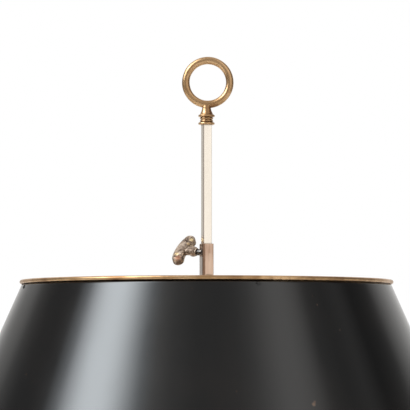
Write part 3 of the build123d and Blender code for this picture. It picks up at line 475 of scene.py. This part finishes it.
def steel(name, colour, rough):
    """Plain zinc-plated or turned steel."""
    dull, plain = mixed(colour, IRON_GREY, 0.5), mixed(colour, IRON_GREY, 0.15)
    return aged_metal(name, dull, plain, colour, rough=rough)


def paint(name, colour, worn, rough, wave, chips=()):
    """Paint or enamel on metal, with a slight orange peel, dust and smudges."""
    finish = Finish(name)
    smudges = finish.noise(14.0, detail=5.0)
    streaks = finish.noise(60.0, detail=3.0, stretch=(1, 1, 0.08))
    specks = finish.noise(420.0, detail=2.0, rough=0.4)
    tone = finish.blend(finish.spread(smudges, 0.35, 0.7), colour, mixed(colour, worn, 0.02))
    tone = finish.blend(finish.spread(specks, 0.8, 0.83), tone, worn)
    for chip in chips:
        tone = finish.blend(chip(finish), tone, worn)
    finish.colour(tone)
    mist = finish.maths("ADD", smudges, finish.maths("MULTIPLY", streaks, 0.4))
    finish.rough(finish.spread(mist, 0.45, 0.95, rough[0], rough[1]))
    finish.bump(finish.noise(180.0, detail=2.0), wave * MM)
    return finish.material


def black_tole():
    """The shade's black lacquer, chipped to its rusty ground at a few places."""
    chips = [
        spot(27.8, -214.6, 513.8, 2.3, 0.9),
        spot(29.0, -213.6, 515.8, 1.6, 0.5),
        spot(65.2, -176.8, 576.9, 1.2, 0.25),
    ]
    return paint("black_tole", finishes().lacquer, RUST, rough=(0.1, 0.16), wave=0.006, chips=chips)


def moulded(name, colour, rough, depth=0.02):
    """Moulded plastic, ceramic or glass, faintly uneven."""
    finish = Finish(name)
    clouds = finish.noise(35.0, detail=4.0)
    grain = finish.noise(300.0, detail=3.0)
    finish.colour(finish.ramp(clouds, [(0.3, mixed(colour, (0, 0, 0), 0.16)), (0.65, colour)]))
    finish.rough(finish.spread(grain, 0.3, 0.7, rough - 0.06, rough + 0.08))
    finish.bump(grain, depth * MM)
    return finish.material


def felt():
    """The green felt under the base."""
    finish = Finish("felt", Sheen_Weight=0.4, Roughness=0.95)
    fibres = finish.noise(1800.0, detail=6.0, rough=0.8)
    clouds = finish.noise(40.0, detail=3.0)
    fine, coarse = finish.maths("MULTIPLY", fibres, 0.6), finish.maths("MULTIPLY", clouds, 0.4)
    tone = finish.maths("ADD", fine, coarse)
    finish.colour(finish.ramp(tone, [(0.35, (0.012, 0.035, 0.018)), (0.65, (0.05, 0.11, 0.06))]))
    finish.bump(fibres, 0.25 * MM)
    return finish.material


def cast_iron():
    """The weight's rough casting."""
    finish = Finish("weight_iron", Metallic=0.6)
    sand = finish.noise(600.0, detail=6.0, rough=0.7)
    rust = finish.noise(50.0, detail=6.0)
    tone = finish.ramp(sand, [(0.3, (0.025, 0.024, 0.023)), (0.7, (0.09, 0.085, 0.08))])
    finish.colour(finish.blend(finish.spread(rust, 0.55, 0.7), tone, (0.12, 0.045, 0.018)))
    finish.rough(finish.spread(sand, 0.3, 0.7, 0.6, 0.85))
    finish.bump(sand, 0.4 * MM)
    return finish.material


def opal_glass():
    """The bulbs' opal glass, a little warmer in cloudy patches."""
    finish = Finish(
        "opal_glass", Roughness=0.18, Transmission_Weight=0.25, IOR=1.5, Subsurface_Weight=0.2
    )
    clouds = finish.noise(60.0, detail=3.0)
    colour = finishes().opal
    warmer = mixed(colour, (0.6, 0.5, 0.35), 0.12)
    finish.colour(finish.ramp(clouds, [(0.3, warmer), (0.7, colour)]))
    finish.bump(finish.noise(90.0, detail=2.0), 0.03 * MM)
    return finish.material


MAKERS = {
    "aged_brass": brass,
    "rod_silver": rod_silver,
    "sleeve_bronze": sleeve_bronze,
    "key_bronze": key_bronze,
    "zinc_steel": lambda: steel("zinc_steel", (0.36, 0.36, 0.355), rough=(0.42, 0.55)),
    "screw_steel": lambda: steel("screw_steel", (0.11, 0.10, 0.095), rough=(0.5, 0.6)),
    "cap_metal": lambda: steel("cap_metal", (0.72, 0.71, 0.68), rough=(0.22, 0.34)),
    "black_tole": black_tole,
    "shade_lining": lambda: paint(
        "shade_lining", finishes().enamel, (0.45, 0.36, 0.24), rough=(0.35, 0.5), wave=0.03
    ),
    "candle_cream": lambda: moulded("candle_cream", finishes().candle, 0.38),
    "holder_plastic": lambda: moulded("holder_plastic", (0.62, 0.58, 0.5), 0.5),
    "black_plastic": lambda: moulded("black_plastic", (0.02, 0.02, 0.02), 0.45),
    "terminal_ceramic": lambda: moulded("terminal_ceramic", (0.75, 0.72, 0.66), 0.6, depth=0.05),
    "lead_insulation": lambda: moulded("lead_insulation", (0.45, 0.38, 0.28), 0.5),
    "felt": felt,
    "weight_iron": cast_iron,
    "opal_glass": opal_glass,
}


def material(name):
    """The finished material of that name, made when it is first asked for."""
    return bpy.data.materials.get(f"lamp_{name}") or MAKERS[name]()


def dress(finish, *names):
    """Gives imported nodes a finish."""
    for name in names:
        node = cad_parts[name]
        node.data.materials.clear()
        node.data.materials.append(material(finish))


def numbered(*stems):
    """The names of a piece that comes once to each candle."""
    return [f"{stem}_{number}" for stem in stems for number in CANDLES]


def add_piece(name, mesh, body, slot, *finish_names, stands_for=()):
    """Puts a mesh in the scene as a piece of the lamp that moves with a body."""
    piece = bpy.data.objects.new(name, mesh)
    bpy.context.scene.collection.objects.link(piece)
    for finish in finish_names:
        mesh.materials.append(material(finish))
    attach(piece, body)
    if stands_for:
        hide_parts(*stands_for)
    return piece


def mesh_from(bm, name, smooth=True):
    """A finished mesh from a bmesh."""
    bmesh.ops.recalc_face_normals(bm, faces=bm.faces)
    mesh = bpy.data.meshes.new(name)
    bm.to_mesh(mesh)
    bm.free()
    for face in mesh.polygons:
        face.use_smooth = smooth
    return mesh


def lathe(bm, profile, segments=72, to_frame=None):
    """Turns (radius, height) points round an axis, and sets the turned piece into a frame."""
    to_frame = to_frame or Matrix.Identity(4)
    rings = []
    for radius, height in profile:
        steps = segments if radius > 1e-6 else 1
        ring = []
        for step in range(steps):
            turn = 2 * pi * step / segments
            corner = Vector((radius * cos(turn), radius * sin(turn), height))
            ring.append(bm.verts.new(to_frame @ corner))
        rings.append(ring)
    for first, second in zip(rings, rings[1:]):
        bridge(bm, first, second)


def bridge(bm, first, second):
    """Joins two closed rows of corners, either of which may be a single corner."""
    if len(first) == len(second) == 1:
        return
    count = max(len(first), len(second))
    for step in range(count):
        after = (step + 1) % count
        near = (first[step % len(first)], first[after % len(first)])
        far = (second[after % len(second)], second[step % len(second)])
        bm.faces.new(list(dict.fromkeys(near + far)))  # a single corner is taken once


def arc(centre, radius, start, end, steps):
    """Points along an arc between two angles."""
    turns = (start + (end - start) * step / steps for step in range(steps + 1))
    return [(centre[0] + radius * cos(turn), centre[1] + radius * sin(turn)) for turn in turns]


def lowest(name):
    """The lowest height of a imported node."""
    return min(v.co.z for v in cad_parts[name].data.vertices)


# ------------------------------------------------------------------ base and column
class LAMP_OT_base(Operator):
    """Finish the dish base, its weight, felt and fixings"""

    bl_idname = "lamp.base"
    bl_label = "Base"

    def execute(self, context):
        dress("felt", "felt_pad")
        dress("weight_iron", "base_weight")
        dress("aged_brass", "base_dish")
        dress("black_plastic", "cord_bushing")
        dress("zinc_steel", "base_washer", "base_nut")
        return {"FINISHED"}


class LAMP_OT_column(Operator):
    """Finish the stem, the fluted column, its foot and capital"""

    bl_idname = "lamp.column"
    bl_label = "Column"

    def execute(self, context):
        dress("zinc_steel", "stem_tube")
        dress("aged_brass", "column_foot", "column", "capital")
        return {"FINISHED"}


# ------------------------------------------------------------------ hub, arms and candles
class LAMP_OT_hub(Operator):
    """Finish the candle hub, its cap, terminals and switch"""

    bl_idname = "lamp.hub"
    bl_label = "Hub and switch"

    def execute(self, context):
        dress("aged_brass", "hub", "hub_cap", "switch_nut", "switch_shaft", "switch_knob")
        dress("terminal_ceramic", "terminal_ring")
        dress("black_plastic", "switch_body")
        return {"FINISHED"}


class LAMP_OT_candle_arms(Operator):
    """Finish the arms with their pans, cups, candle tubes and holders"""

    bl_idname = "lamp.candle_arms"
    bl_label = "Candle arms"

    def execute(self, context):
        dress("aged_brass", *numbered("arm", "drip_pan", "candle_cup"))
        dress("zinc_steel", "arm_lock_nuts")
        dress("candle_cream", *numbered("candle_tube"))
        dress("holder_plastic", *numbered("lamp_holder"))
        dress("lead_insulation", *numbered("holder_lead"))
        return {"FINISHED"}


class LAMP_OT_bulbs(Operator):
    """Finish the candle bulbs"""

    bl_idname = "lamp.bulbs"
    bl_label = "Bulbs"

    def execute(self, context):
        dress("cap_metal", *numbered("bulb_cap"))
        dress("opal_glass", *numbered("bulb_glass"))
        return {"FINISHED"}


# ------------------------------------------------------------------ rod and ring
def collar_outline(foot):
    """The collar's turned outline from its bore to the neck's tip, and the neck's top."""
    points = [(0, BORE_DEPTH), (BORE_RADIUS, BORE_DEPTH), (BORE_RADIUS, 0)]
    points += arc((FLANGE_FLAT, FLANGE_HEIGHT / 2), FLANGE_HEIGHT / 2, -pi / 2, pi / 2, 12)
    points.append((WAIST_RADIUS, FLANGE_HEIGHT + WAIST_LAP))
    height = FLANGE_HEIGHT
    for _ in range(2):
        centre = (WAIST_RADIUS - WAIST_LAP, height + BEAD_HEIGHT / 2)
        points += arc(centre, BEAD_HEIGHT / 2 * BEAD_SWELL, -pi / 2, pi / 2, 14)
        height += BEAD_HEIGHT
    points.append((WAIST_RADIUS, height - WAIST_LAP))
    points += arc((FLANGE_FLAT, height + FLANGE_HEIGHT / 2), FLANGE_HEIGHT / 2, -pi / 2, pi / 2, 12)
    height += FLANGE_HEIGHT
    rows = 12
    for row in range(rows + 1):
        share = row / rows
        fall = NECK_FALL * sin(share * pi / 2) ** 0.9
        points.append((NECK_FOOT_RADIUS - fall, height + NECK_HEIGHT * share))
    height += NECK_HEIGHT
    points += [(NECK_TIP_RADIUS, height + 1.2), (0, height + 1.6)]
    return [(radius * MM, foot + along * MM) for radius, along in points], foot + height * MM


def make_ring_mesh(detail):
    """The ring on its neck and collar, one smooth casting."""
    outline, neck_top = collar_outline(lowest("ring_finial"))
    bm = bmesh.new()
    lathe(bm, outline)
    middle = detail.outer_radius - detail.tube_radius
    centre = neck_top - RING_SINK * MM + detail.outer_radius
    neck = Matrix.Translation((0, 0, neck_top))
    turned = Matrix.Rotation(detail.facing, 4, "Z") @ Matrix.Rotation(detail.lean, 4, "Y")
    stood = neck @ turned @ neck.inverted()
    steps, unevenness = 180, 0.03
    rings = []
    for step in range(steps):
        turn = 2 * pi * step / steps
        swell = noise.noise(Vector((2 * cos(turn), 2 * sin(turn), 0)))
        bar = detail.tube_radius * (1 + unevenness * swell)
        ring = []
        for reach, aside in arc((middle, 0), bar, 0, 2 * pi, 40)[:-1]:
            corner = Vector((reach * sin(turn), aside, centre + reach * cos(turn)))
            ring.append(bm.verts.new(stood @ corner))
        rings.append(ring)
    for index, ring in enumerate(rings):
        bridge(bm, ring, rings[(index + 1) % steps])
    return mesh_from(bm, "carrying_ring")


class LAMP_OT_rod(Operator):
    """Finish the square rod and its socket, and make the carrying ring"""

    bl_idname = "lamp.rod"
    bl_label = "Rod and ring"

    def execute(self, context):
        dress("rod_silver", "square_rod")
        dress("aged_brass", "rod_socket")
        mesh = make_ring_mesh(context.scene.lamp_ring)
        add_piece(
            "carrying_ring", mesh, "stand", "aged_brass", "aged_brass", stands_for=["ring_finial"]
        )
        return {"FINISHED"}


# ------------------------------------------------------------------ shade
def shell_outline():
    """The shell's outer edge points and its wall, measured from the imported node."""
    co = [v.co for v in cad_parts["shade_shell"].data.vertices]
    low, high = min(c.z for c in co), max(c.z for c in co)
    flat = 0.3 * MM
    top = sorted(c.xy.length for c in co if c.z > high - flat)
    foot = sorted(c.xy.length for c in co if c.z < low + flat)
    return (top[-1], high), (foot[-1], low), (foot[-1] - foot[0])


def make_shell_mesh(detail):
    """The sheet cone as a metal worker leaves it: a little wavy, and lapped at its seam."""
    (top_radius, top), (foot_radius, foot), wall = shell_outline()
    bm = bmesh.new()
    rings = []
    rows, count = detail.rows, detail.segments
    lap_edge = 1.2 * MM
    outer_side = [(row, True) for row in range(rows + 1)]
    inner_side = [(row, False) for row in range(rows, -1, -1)]
    for row, outer in outer_side + inner_side:
        share = row / rows
        fade = min(1.0, 6 * share, 6 * (1 - share))
        height = top + (foot - top) * share
        ring = []
        for step in range(count):
            turn = 2 * pi * step / count
            from_seam = turn - detail.seam_angle
            radius = top_radius + (foot_radius - top_radius) * share
            bulge = noise.noise(Vector((3 * cos(turn), 3 * sin(turn), 4 * share))) * detail.wave
            if outer:
                lap = abs(atan2(sin(from_seam), cos(from_seam))) * radius
                laid = max(0.0, min(1.0, (detail.seam_width / 2 - lap) / lap_edge))
                radius += (bulge + detail.seam_step * laid) * fade
            else:
                radius += bulge * fade - wall
            ring.append(bm.verts.new((radius * cos(turn), radius * sin(turn), height)))
        rings.append(ring)
    for index, ring in enumerate(rings):
        following = rings[(index + 1) % len(rings)]
        for step in range(count):
            after = (step + 1) % count
            face = bm.faces.new((ring[step], ring[after], following[after], following[step]))
            face.material_index = 0 if index <= rows or index == len(rings) - 1 else 1
    return mesh_from(bm, "shade_shell_sheet")


def make_spider_mesh(detail):
    """Four arms that fall a little from the sleeve, with their plate, tabs and rivets."""
    (top_radius, top), (foot_radius, foot), wall = shell_outline()
    slant = atan2(foot_radius - top_radius, top - foot)
    sleeve_foot = lowest("shade_sleeve")
    rim = sleeve_foot - RIM_BELOW_SLEEVE * MM
    half = detail.thickness / 2
    plate = sleeve_foot - half

    def inside(below, depth):
        """A place under the rim and inside the shell's outer face."""
        reach = top_radius + (top - rim + below) * sin(slant) / cos(slant)
        return reach - depth * cos(slant), rim - below - depth * sin(slant)

    near = wall + 0.1 * MM
    far = near + detail.thickness
    bend = 1.2 * MM
    outline = [
        (ARM_START * MM, plate + half),
        inside(detail.fall - half, near + bend),
        inside(detail.fall + bend, near),
        inside(TAB_BELOW_RIM * MM, near),
        inside(TAB_BELOW_RIM * MM, far),
        inside(detail.fall + half + bend, far),
        (ARM_START * MM, plate - half),
    ]
    rivet = [(radius * MM, height * MM) for radius, height in RIVET]
    reach, height = inside(RIVET_BELOW_RIM * MM, 0)
    out = Matrix.Translation((reach, 0, height)) @ Matrix.Rotation(pi / 2 - slant, 4, "Y")
    bm = bmesh.new()
    for quarter in range(4):
        stood = Matrix.Rotation(detail.turn + quarter * pi / 2, 4, "Z")
        sides = []
        for aside in (-detail.width / 2, detail.width / 2):
            corners = (stood @ Vector((along, aside, level)) for along, level in outline)
            sides.append([bm.verts.new(corner) for corner in corners])
        bridge(bm, *sides)
        for side in sides:
            bm.faces.new(side)
        brass_faces = len(bm.faces)
        lathe(bm, rivet, 24, stood @ out)
        bm.faces.ensure_lookup_table()
        for face in bm.faces[brass_faces:]:
            face.material_index = 1
    low, high = plate - half, plate + half
    squares = []
    for side, level in (
        (PLATE_HOLE, low), (PLATE_HOLE, high), (PLATE_HALF, high), (PLATE_HALF, low)
    ):
        signs = ((1, 1), (-1, 1), (-1, -1), (1, -1))
        squares.append([bm.verts.new((side * x * MM, side * y * MM, level)) for x, y in signs])
    for index, square in enumerate(squares):
        bridge(bm, square, squares[(index + 1) % len(squares)])
    return mesh_from(bm, "spider_arms", smooth=False)


class LAMP_OT_shade(Operator):
    """Make the shade's sheet cone and its spider, and finish its beads"""

    bl_idname = "lamp.shade"
    bl_label = "Shade"

    def execute(self, context):
        mesh = make_shell_mesh(context.scene.lamp_shade)
        add_piece(
            "shade_sheet", mesh, "shade", "black_tole", "black_tole", "shade_lining",
            stands_for=["shade_shell"],
        )
        mesh = make_spider_mesh(context.scene.lamp_spider)
        add_piece(
            "spider_arms", mesh, "shade", "aged_brass", "aged_brass", "black_tole",
            stands_for=["spider", "spider_rivets"],
        )
        dress("aged_brass", "shade_top_bead", "shade_bottom_bead")
        return {"FINISHED"}


# ------------------------------------------------------------------ clamp
LONG_STEPS = 40  # along the key's back and along its hollow
END_STEPS = 22  # round each rolled end


def casting_outline(key, inset):
    """The kidney's outline drawn in by an inset: back, right end, hollow and left end."""
    offset, place, radius = key.roll_offset, key.roll_place, key.roll_radius
    reach = key.back - radius
    back_centre = (offset**2 + place**2 - reach**2) / (2 * (place - reach))
    back_turn = atan2(place - back_centre, offset)
    span = radius + key.hollow_radius
    drop = sqrt(span**2 - offset**2)
    hollow_turn = atan2(drop, offset)
    end_radius = radius - inset
    back_radius, hollow_radius = key.back - back_centre - inset, key.hollow_radius + inset
    back = arc((0, back_centre), back_radius, pi - back_turn, back_turn, LONG_STEPS)
    right = arc((offset, place), end_radius, back_turn, hollow_turn - pi, END_STEPS)
    hollow = arc((0, place - drop), hollow_radius, hollow_turn, pi - hollow_turn, LONG_STEPS)
    left = arc((-offset, place), end_radius, 2 * pi - hollow_turn, pi - back_turn, END_STEPS)
    return [*back, *right[1:-1], *hollow, *left[1:-1]]


def casting_height(key, inset, along, out):
    """Height of the casting's face: a rounded edge, a low dome and a scroll at each end."""
    curve = max(0.0, key.edge_round - inset)
    height = key.thickness / 2 - key.edge_round + sqrt(key.edge_round**2 - curve**2)
    height += DOME * MM * sin(min(1.0, inset / (DOME_REACH * MM)) * pi / 2)
    aside, above = abs(along) - key.roll_offset, out - key.roll_place
    reach = sqrt(aside**2 + above**2)
    turn = atan2(above, aside) / (2 * pi)
    margin = key.roll_radius - SCROLL_MARGIN * MM - reach
    fade = min(1.0, max(0.0, margin / (SCROLL_FADE * MM)))
    scroll = cos(2 * pi * (reach / (SCROLL_PITCH * MM) - turn))
    grain = noise.noise(Vector((along * 900, out * 260, 0))) * min(1.0, inset / MM)
    return height + fade * SCROLL_HEIGHT * MM * scroll + CAST_GRAIN * MM * grain


def add_casting(bm, key, place):
    """The kidney itself: both faces drawn in row by row, each closed along its middle."""
    deeper = [2.2 + 0.25 * step for step in range(1, 11)]
    insets = [0, 0.06, 0.25, 0.55, 1.0, 1.5, 1.9, 2.2, *deeper]
    rows = []
    for side, side_insets in ((1, insets[::-1]), (-1, insets)):
        for inset in side_insets:
            corners = []
            for along, out in casting_outline(key, inset * MM):
                height = casting_height(key, inset * MM, along, out)
                corners.append(bm.verts.new(place(along - key.drop, out, side * height)))
            rows.append(corners)
    for first, second in zip(rows, rows[1:]):
        bridge(bm, first, second)
    right_start = LONG_STEPS + 1
    hollow_start = right_start + END_STEPS - 1
    left_start = hollow_start + LONG_STEPS + 1
    for row in (rows[0], rows[-1]):
        back, right = row[:right_start], row[right_start:hollow_start]
        hollow, left = row[hollow_start:left_start], row[left_start:]
        for step in range(LONG_STEPS):
            across = LONG_STEPS - step
            bm.faces.new((back[step], back[step + 1], hollow[across - 1], hollow[across]))
        bm.faces.new([back[-1], *right, hollow[0]])
        bm.faces.new([hollow[-1], *left, back[0]])


def add_web(bm, key, place):
    """The web that spreads from the hub to the casting."""
    steps = 40

    def squared(value):
        """A cosine or sine drawn out, so that a round section becomes a squarish one."""
        return abs(value) ** 0.7 * (1 if value > 0 else -1)

    sections = []
    for share in (0, 0.12, 0.3, 0.5, 0.7, 0.85, 1):
        out = (WEB_START + WEB_LENGTH * share) * MM
        half = (WEB_FOOT + WEB_SPREAD * share**1.6) * MM
        thick = (WEB_HALF_THICKNESS - WEB_THINNING * share) * MM
        row = []
        for step in range(steps):
            turn = 2 * pi * step / steps
            along = half * squared(cos(turn)) - key.drop * share
            row.append(bm.verts.new(place(along, out, thick * squared(sin(turn)))))
        sections.append(row)
    for first, second in zip(sections, sections[1:]):
        bridge(bm, first, second)
    bm.faces.new(sections[0])
    bm.faces.new(sections[-1])


def make_key_mesh(key):
    """The casting, its web and its hub, on the clamp screw's line."""
    screw = Vector((-cos(key.rise) * sqrt(0.5), cos(key.rise) * sqrt(0.5), sin(key.rise)))
    level = Vector((sqrt(0.5), sqrt(0.5), 0))
    upright = level.cross(screw)
    length = upright * cos(key.lean) + level * sin(key.lean)
    across = length.cross(screw)
    origin = Vector((0, 0, key.height))

    def place(along, out, off):
        """A place in the key's own plane, and off it."""
        return origin + length * along + screw * out + across * off

    bm = bmesh.new()
    add_casting(bm, key, place)
    add_web(bm, key, place)
    barrel = arc(BARREL_CENTRE, BARREL_RADIUS, -BARREL_TURN, BARREL_TURN, 14)
    hub = [(radius * MM, out * MM) for radius, out in (*HUB_START, *barrel, *HUB_END, *HUB_BORE)]
    turned = Matrix((length, across, screw)).transposed().to_4x4()
    lathe(bm, hub, 48, Matrix.Translation(origin) @ turned)
    bmesh.ops.remove_doubles(bm, verts=bm.verts, dist=1e-7)
    return mesh_from(bm, "clamp_key_casting")


class LAMP_OT_clamp(Operator):
    """Finish the sleeve and the clamp screw, and make the key"""

    bl_idname = "lamp.clamp"
    bl_label = "Clamp"

    def execute(self, context):
        dress("sleeve_bronze", "shade_sleeve")
        dress("screw_steel", "clamp_screw")
        mesh = make_key_mesh(context.scene.lamp_key)
        add_piece(
            "winged_key", mesh, "clamp_key", "key_bronze", "key_bronze", stands_for=["clamp_key"]
        )
        return {"FINISHED"}


# ------------------------------------------------------------------ studio
def add_camera(stage):
    """A long lens a little below the shade's rim, looking slightly up."""
    data = bpy.data.cameras.new("camera")
    data.sensor_width = 36.0
    data.lens = data.sensor_width * stage.distance / stage.picture
    data.clip_end = 50.0
    camera = bpy.data.objects.new("camera", data)
    bpy.context.scene.collection.objects.link(camera)
    back = Vector((sin(stage.azimuth), -cos(stage.azimuth), 0))
    right = Vector((cos(stage.azimuth), sin(stage.azimuth), 0))
    camera.location = back * stage.distance + Vector((0, 0, stage.height))
    aim = Vector((0, 0, stage.aim)) - right * stage.aside
    camera.rotation_euler = (aim - camera.location).to_track_quat("-Z", "Y").to_euler()
    bpy.context.scene.camera = camera


# The studio's light in strengths, by degrees right of the camera: low down, and at the softbox.
SKY_LOW = (
    (-180, 1.0), (-150, 0.62), (-130, 0.45), (-110, 0.28), (-85, 0.25), (-60, 0.32), (-30, 0.28),
    (-5, 0.45), (15, 0.9), (30, 1.2), (45, 1.2), (60, 0.8), (80, 0.3), (100, 0.2), (120, 0.35),
    (145, 0.85), (180, 1.0),
)
SKY_HIGH = (
    (-180, 1.0), (-150, 1.3), (-141, 1.3), (-128, 0.32), (-116, 0.22), (-104, 0.25), (-94, 0.4),
    (-86, 2.2), (-79, 7.5), (-73, 11.5), (-67, 12.5), (-61, 12.5), (-55, 10.5), (-47, 5.6),
    (-40, 2.2), (-32, 1.15), (-22, 0.72), (-8, 0.5), (8, 0.48), (20, 0.55), (30, 0.8), (38, 1.2),
    (47, 1.6), (55, 1.6), (63, 1.25), (72, 0.45), (84, 0.32), (95, 0.38), (106, 0.14), (124, 0.16),
    (142, 1.1), (180, 1.0),
)
SKY_PEAK = 12.5
CEILING = 0.7
SOFTBOX_FOOT = (14, 28)  # degrees over the horizon, as the softbox's light comes in
SOFTBOX_TOP = (56, 68)  # and as the ceiling's takes over
BRIGHT = 2  # over this strength the light is the softbox's
COOL, WARM = (0.9, 0.96, 1.0), (1.0, 0.99, 0.97)


def add_world(stage):
    """A white studio: white where it is looked at, reflected as a tall softbox in a dim room."""
    world = bpy.data.worlds.new("studio")
    world.use_nodes = True
    bpy.context.scene.world = world
    tree = world.node_tree

    def add(kind, *values, **settings):
        """A node with its settings, and with its first sockets joined or set."""
        node = tree.nodes.new(kind)
        for setting, value in settings.items():
            setattr(node, setting, value)
        for socket, value in zip(node.inputs, values):
            if isinstance(value, bpy.types.NodeSocket):
                tree.links.new(value, socket)
            else:
                socket.default_value = value
        return node

    def strengths(rows):
        """A table of strengths laid round the lamp, cool where the softbox is."""
        ramp = add("ShaderNodeValToRGB", around)
        points = ramp.color_ramp.elements
        while len(points) < len(rows):
            points.new(0.5)
        for point, (degrees_right, strength) in zip(points, rows):
            tint = COOL if strength > BRIGHT else WARM
            point.position = degrees_right / 360 + 0.5
            point.color = (*(strength / SKY_PEAK * share for share in tint), 1.0)
        return ramp.outputs["Color"]

    def above(low, high):
        """0 under one elevation and 1 over another."""
        ends = (sin(radians(low)), sin(radians(high)))
        span = add("ShaderNodeMapRange", z, *ends, interpolation_type="SMOOTHSTEP")
        return span.outputs["Result"]

    def blend(share, under, over):
        """One colour over another."""
        mix = add("ShaderNodeMix", share, data_type="RGBA")
        tree.links.new(under, mix.inputs[6])
        if isinstance(over, bpy.types.NodeSocket):
            tree.links.new(over, mix.inputs[7])
        else:
            mix.inputs[7].default_value = over
        return mix.outputs[2]

    place = add("ShaderNodeTexCoord").outputs["Generated"]
    turned = add("ShaderNodeMapping", place, (0, 0, 0), (0, 0, -stage.azimuth)).outputs["Vector"]
    x, y, z = add("ShaderNodeSeparateXYZ", turned).outputs
    towards = add("ShaderNodeMath", y, -1.0, operation="MULTIPLY").outputs[0]
    turn = add("ShaderNodeMath", x, towards, operation="ARCTAN2").outputs[0]
    around = add("ShaderNodeMath", turn, 0.5 / pi, 0.5, operation="MULTIPLY_ADD").outputs[0]
    sides = blend(above(*SOFTBOX_FOOT), strengths(SKY_LOW), strengths(SKY_HIGH))
    ceiling = (*([CEILING / SKY_PEAK] * 3), 1.0)
    room = blend(above(*SOFTBOX_TOP), sides, ceiling)
    studio = add("ShaderNodeBackground", room, SKY_PEAK).outputs[0]
    white = add("ShaderNodeBackground", (1, 1, 1, 1), 1.0).outputs[0]
    path = add("ShaderNodeLightPath").outputs
    rays = (path["Is Camera Ray"], path["Is Transmission Ray"])
    shown = add("ShaderNodeMath", *rays, operation="MAXIMUM").outputs[0]
    seen = add("ShaderNodeMixShader", shown, studio, white).outputs[0]
    tree.links.new(seen, tree.nodes["World Output"].inputs["Surface"])


def add_floor():
    """A pale round floor that fades to white before its edge."""
    radius, fade_start, fade_end = 3.0, 0.45, 1.6
    bm = bmesh.new()
    bmesh.ops.create_circle(bm, cap_ends=True, segments=96, radius=radius)
    floor = bpy.data.objects.new("floor", mesh_from(bm, "floor"))
    bpy.context.scene.collection.objects.link(floor)
    finish = Finish("floor", Roughness=0.6)
    greys = [(0.3, (0.84, 0.84, 0.83)), (0.7, (0.87, 0.87, 0.86))]
    finish.colour(finish.ramp(finish.noise(4.0), greys))
    tree = finish.tree
    length = finish.add("ShaderNodeVectorMath", operation="LENGTH")
    finish.join(finish.place, length.inputs[0])
    fade = finish.spread(length.outputs["Value"], fade_start, fade_end)
    path = finish.add("ShaderNodeLightPath")
    share = finish.maths("MULTIPLY", fade, path.outputs["Is Camera Ray"])
    white = finish.add("ShaderNodeEmission")
    mix = finish.add("ShaderNodeMixShader")
    finish.join(share, mix.inputs["Fac"])
    finish.join(finish.shader.outputs["BSDF"], mix.inputs[1])
    finish.join(white.outputs["Emission"], mix.inputs[2])
    finish.join(mix.outputs["Shader"], tree.nodes["Material Output"].inputs["Surface"])
    floor.data.materials.append(finish.material)


class LAMP_OT_stage(Operator):
    """Set up the camera, the floor and the studio's light"""

    bl_idname = "lamp.stage"
    bl_label = "Studio"

    def execute(self, context):
        stage = context.scene.lamp_stage
        context.scene.view_settings.view_transform = "Standard"
        add_camera(stage)
        add_world(stage)
        add_floor()
        return {"FINISHED"}


# ------------------------------------------------------------------ sidebar
GROUPS = {
    "lamp_finishes": LampFinishes,
    "lamp_ring": RingDetail,
    "lamp_shade": ShadeDetail,
    "lamp_spider": SpiderDetail,
    "lamp_key": KeyDetail,
    "lamp_stage": StageSettings,
}
PIECES = (
    LAMP_OT_base,
    LAMP_OT_column,
    LAMP_OT_hub,
    LAMP_OT_candle_arms,
    LAMP_OT_bulbs,
    LAMP_OT_rod,
    LAMP_OT_shade,
    LAMP_OT_clamp,
    LAMP_OT_stage,
)


class LAMP_PT_sidebar(Panel):
    """The lamp's operators and values"""

    bl_idname = "LAMP_PT_sidebar"
    bl_label = "Bouillotte lamp"
    bl_space_type = "VIEW_3D"
    bl_region_type = "UI"
    bl_category = "Lamp"

    def draw(self, context):
        scene = context.scene
        for attribute, kind in GROUPS.items():
            box = self.layout.box()
            for name in kind.__annotations__:
                box.prop(getattr(scene, attribute), name)
        for piece in PIECES:
            self.layout.operator(piece.bl_idname)


def register():
    """Adds the classes and the scene's values."""
    for cls in (*GROUPS.values(), *PIECES, LAMP_PT_sidebar):
        bpy.utils.register_class(cls)
    for name, group in GROUPS.items():
        setattr(bpy.types.Scene, name, PointerProperty(type=group))


def unregister():
    """Takes them away again."""
    for name in GROUPS:
        delattr(bpy.types.Scene, name)
    for cls in reversed((*GROUPS.values(), *PIECES, LAMP_PT_sidebar)):
        bpy.utils.unregister_class(cls)


def main():
    """Dresses every piece in turn."""
    register()
    for piece in PIECES:
        group, name = piece.bl_idname.split(".")
        getattr(getattr(bpy.ops, group), name)()


if __name__ == "__main__":
    main()
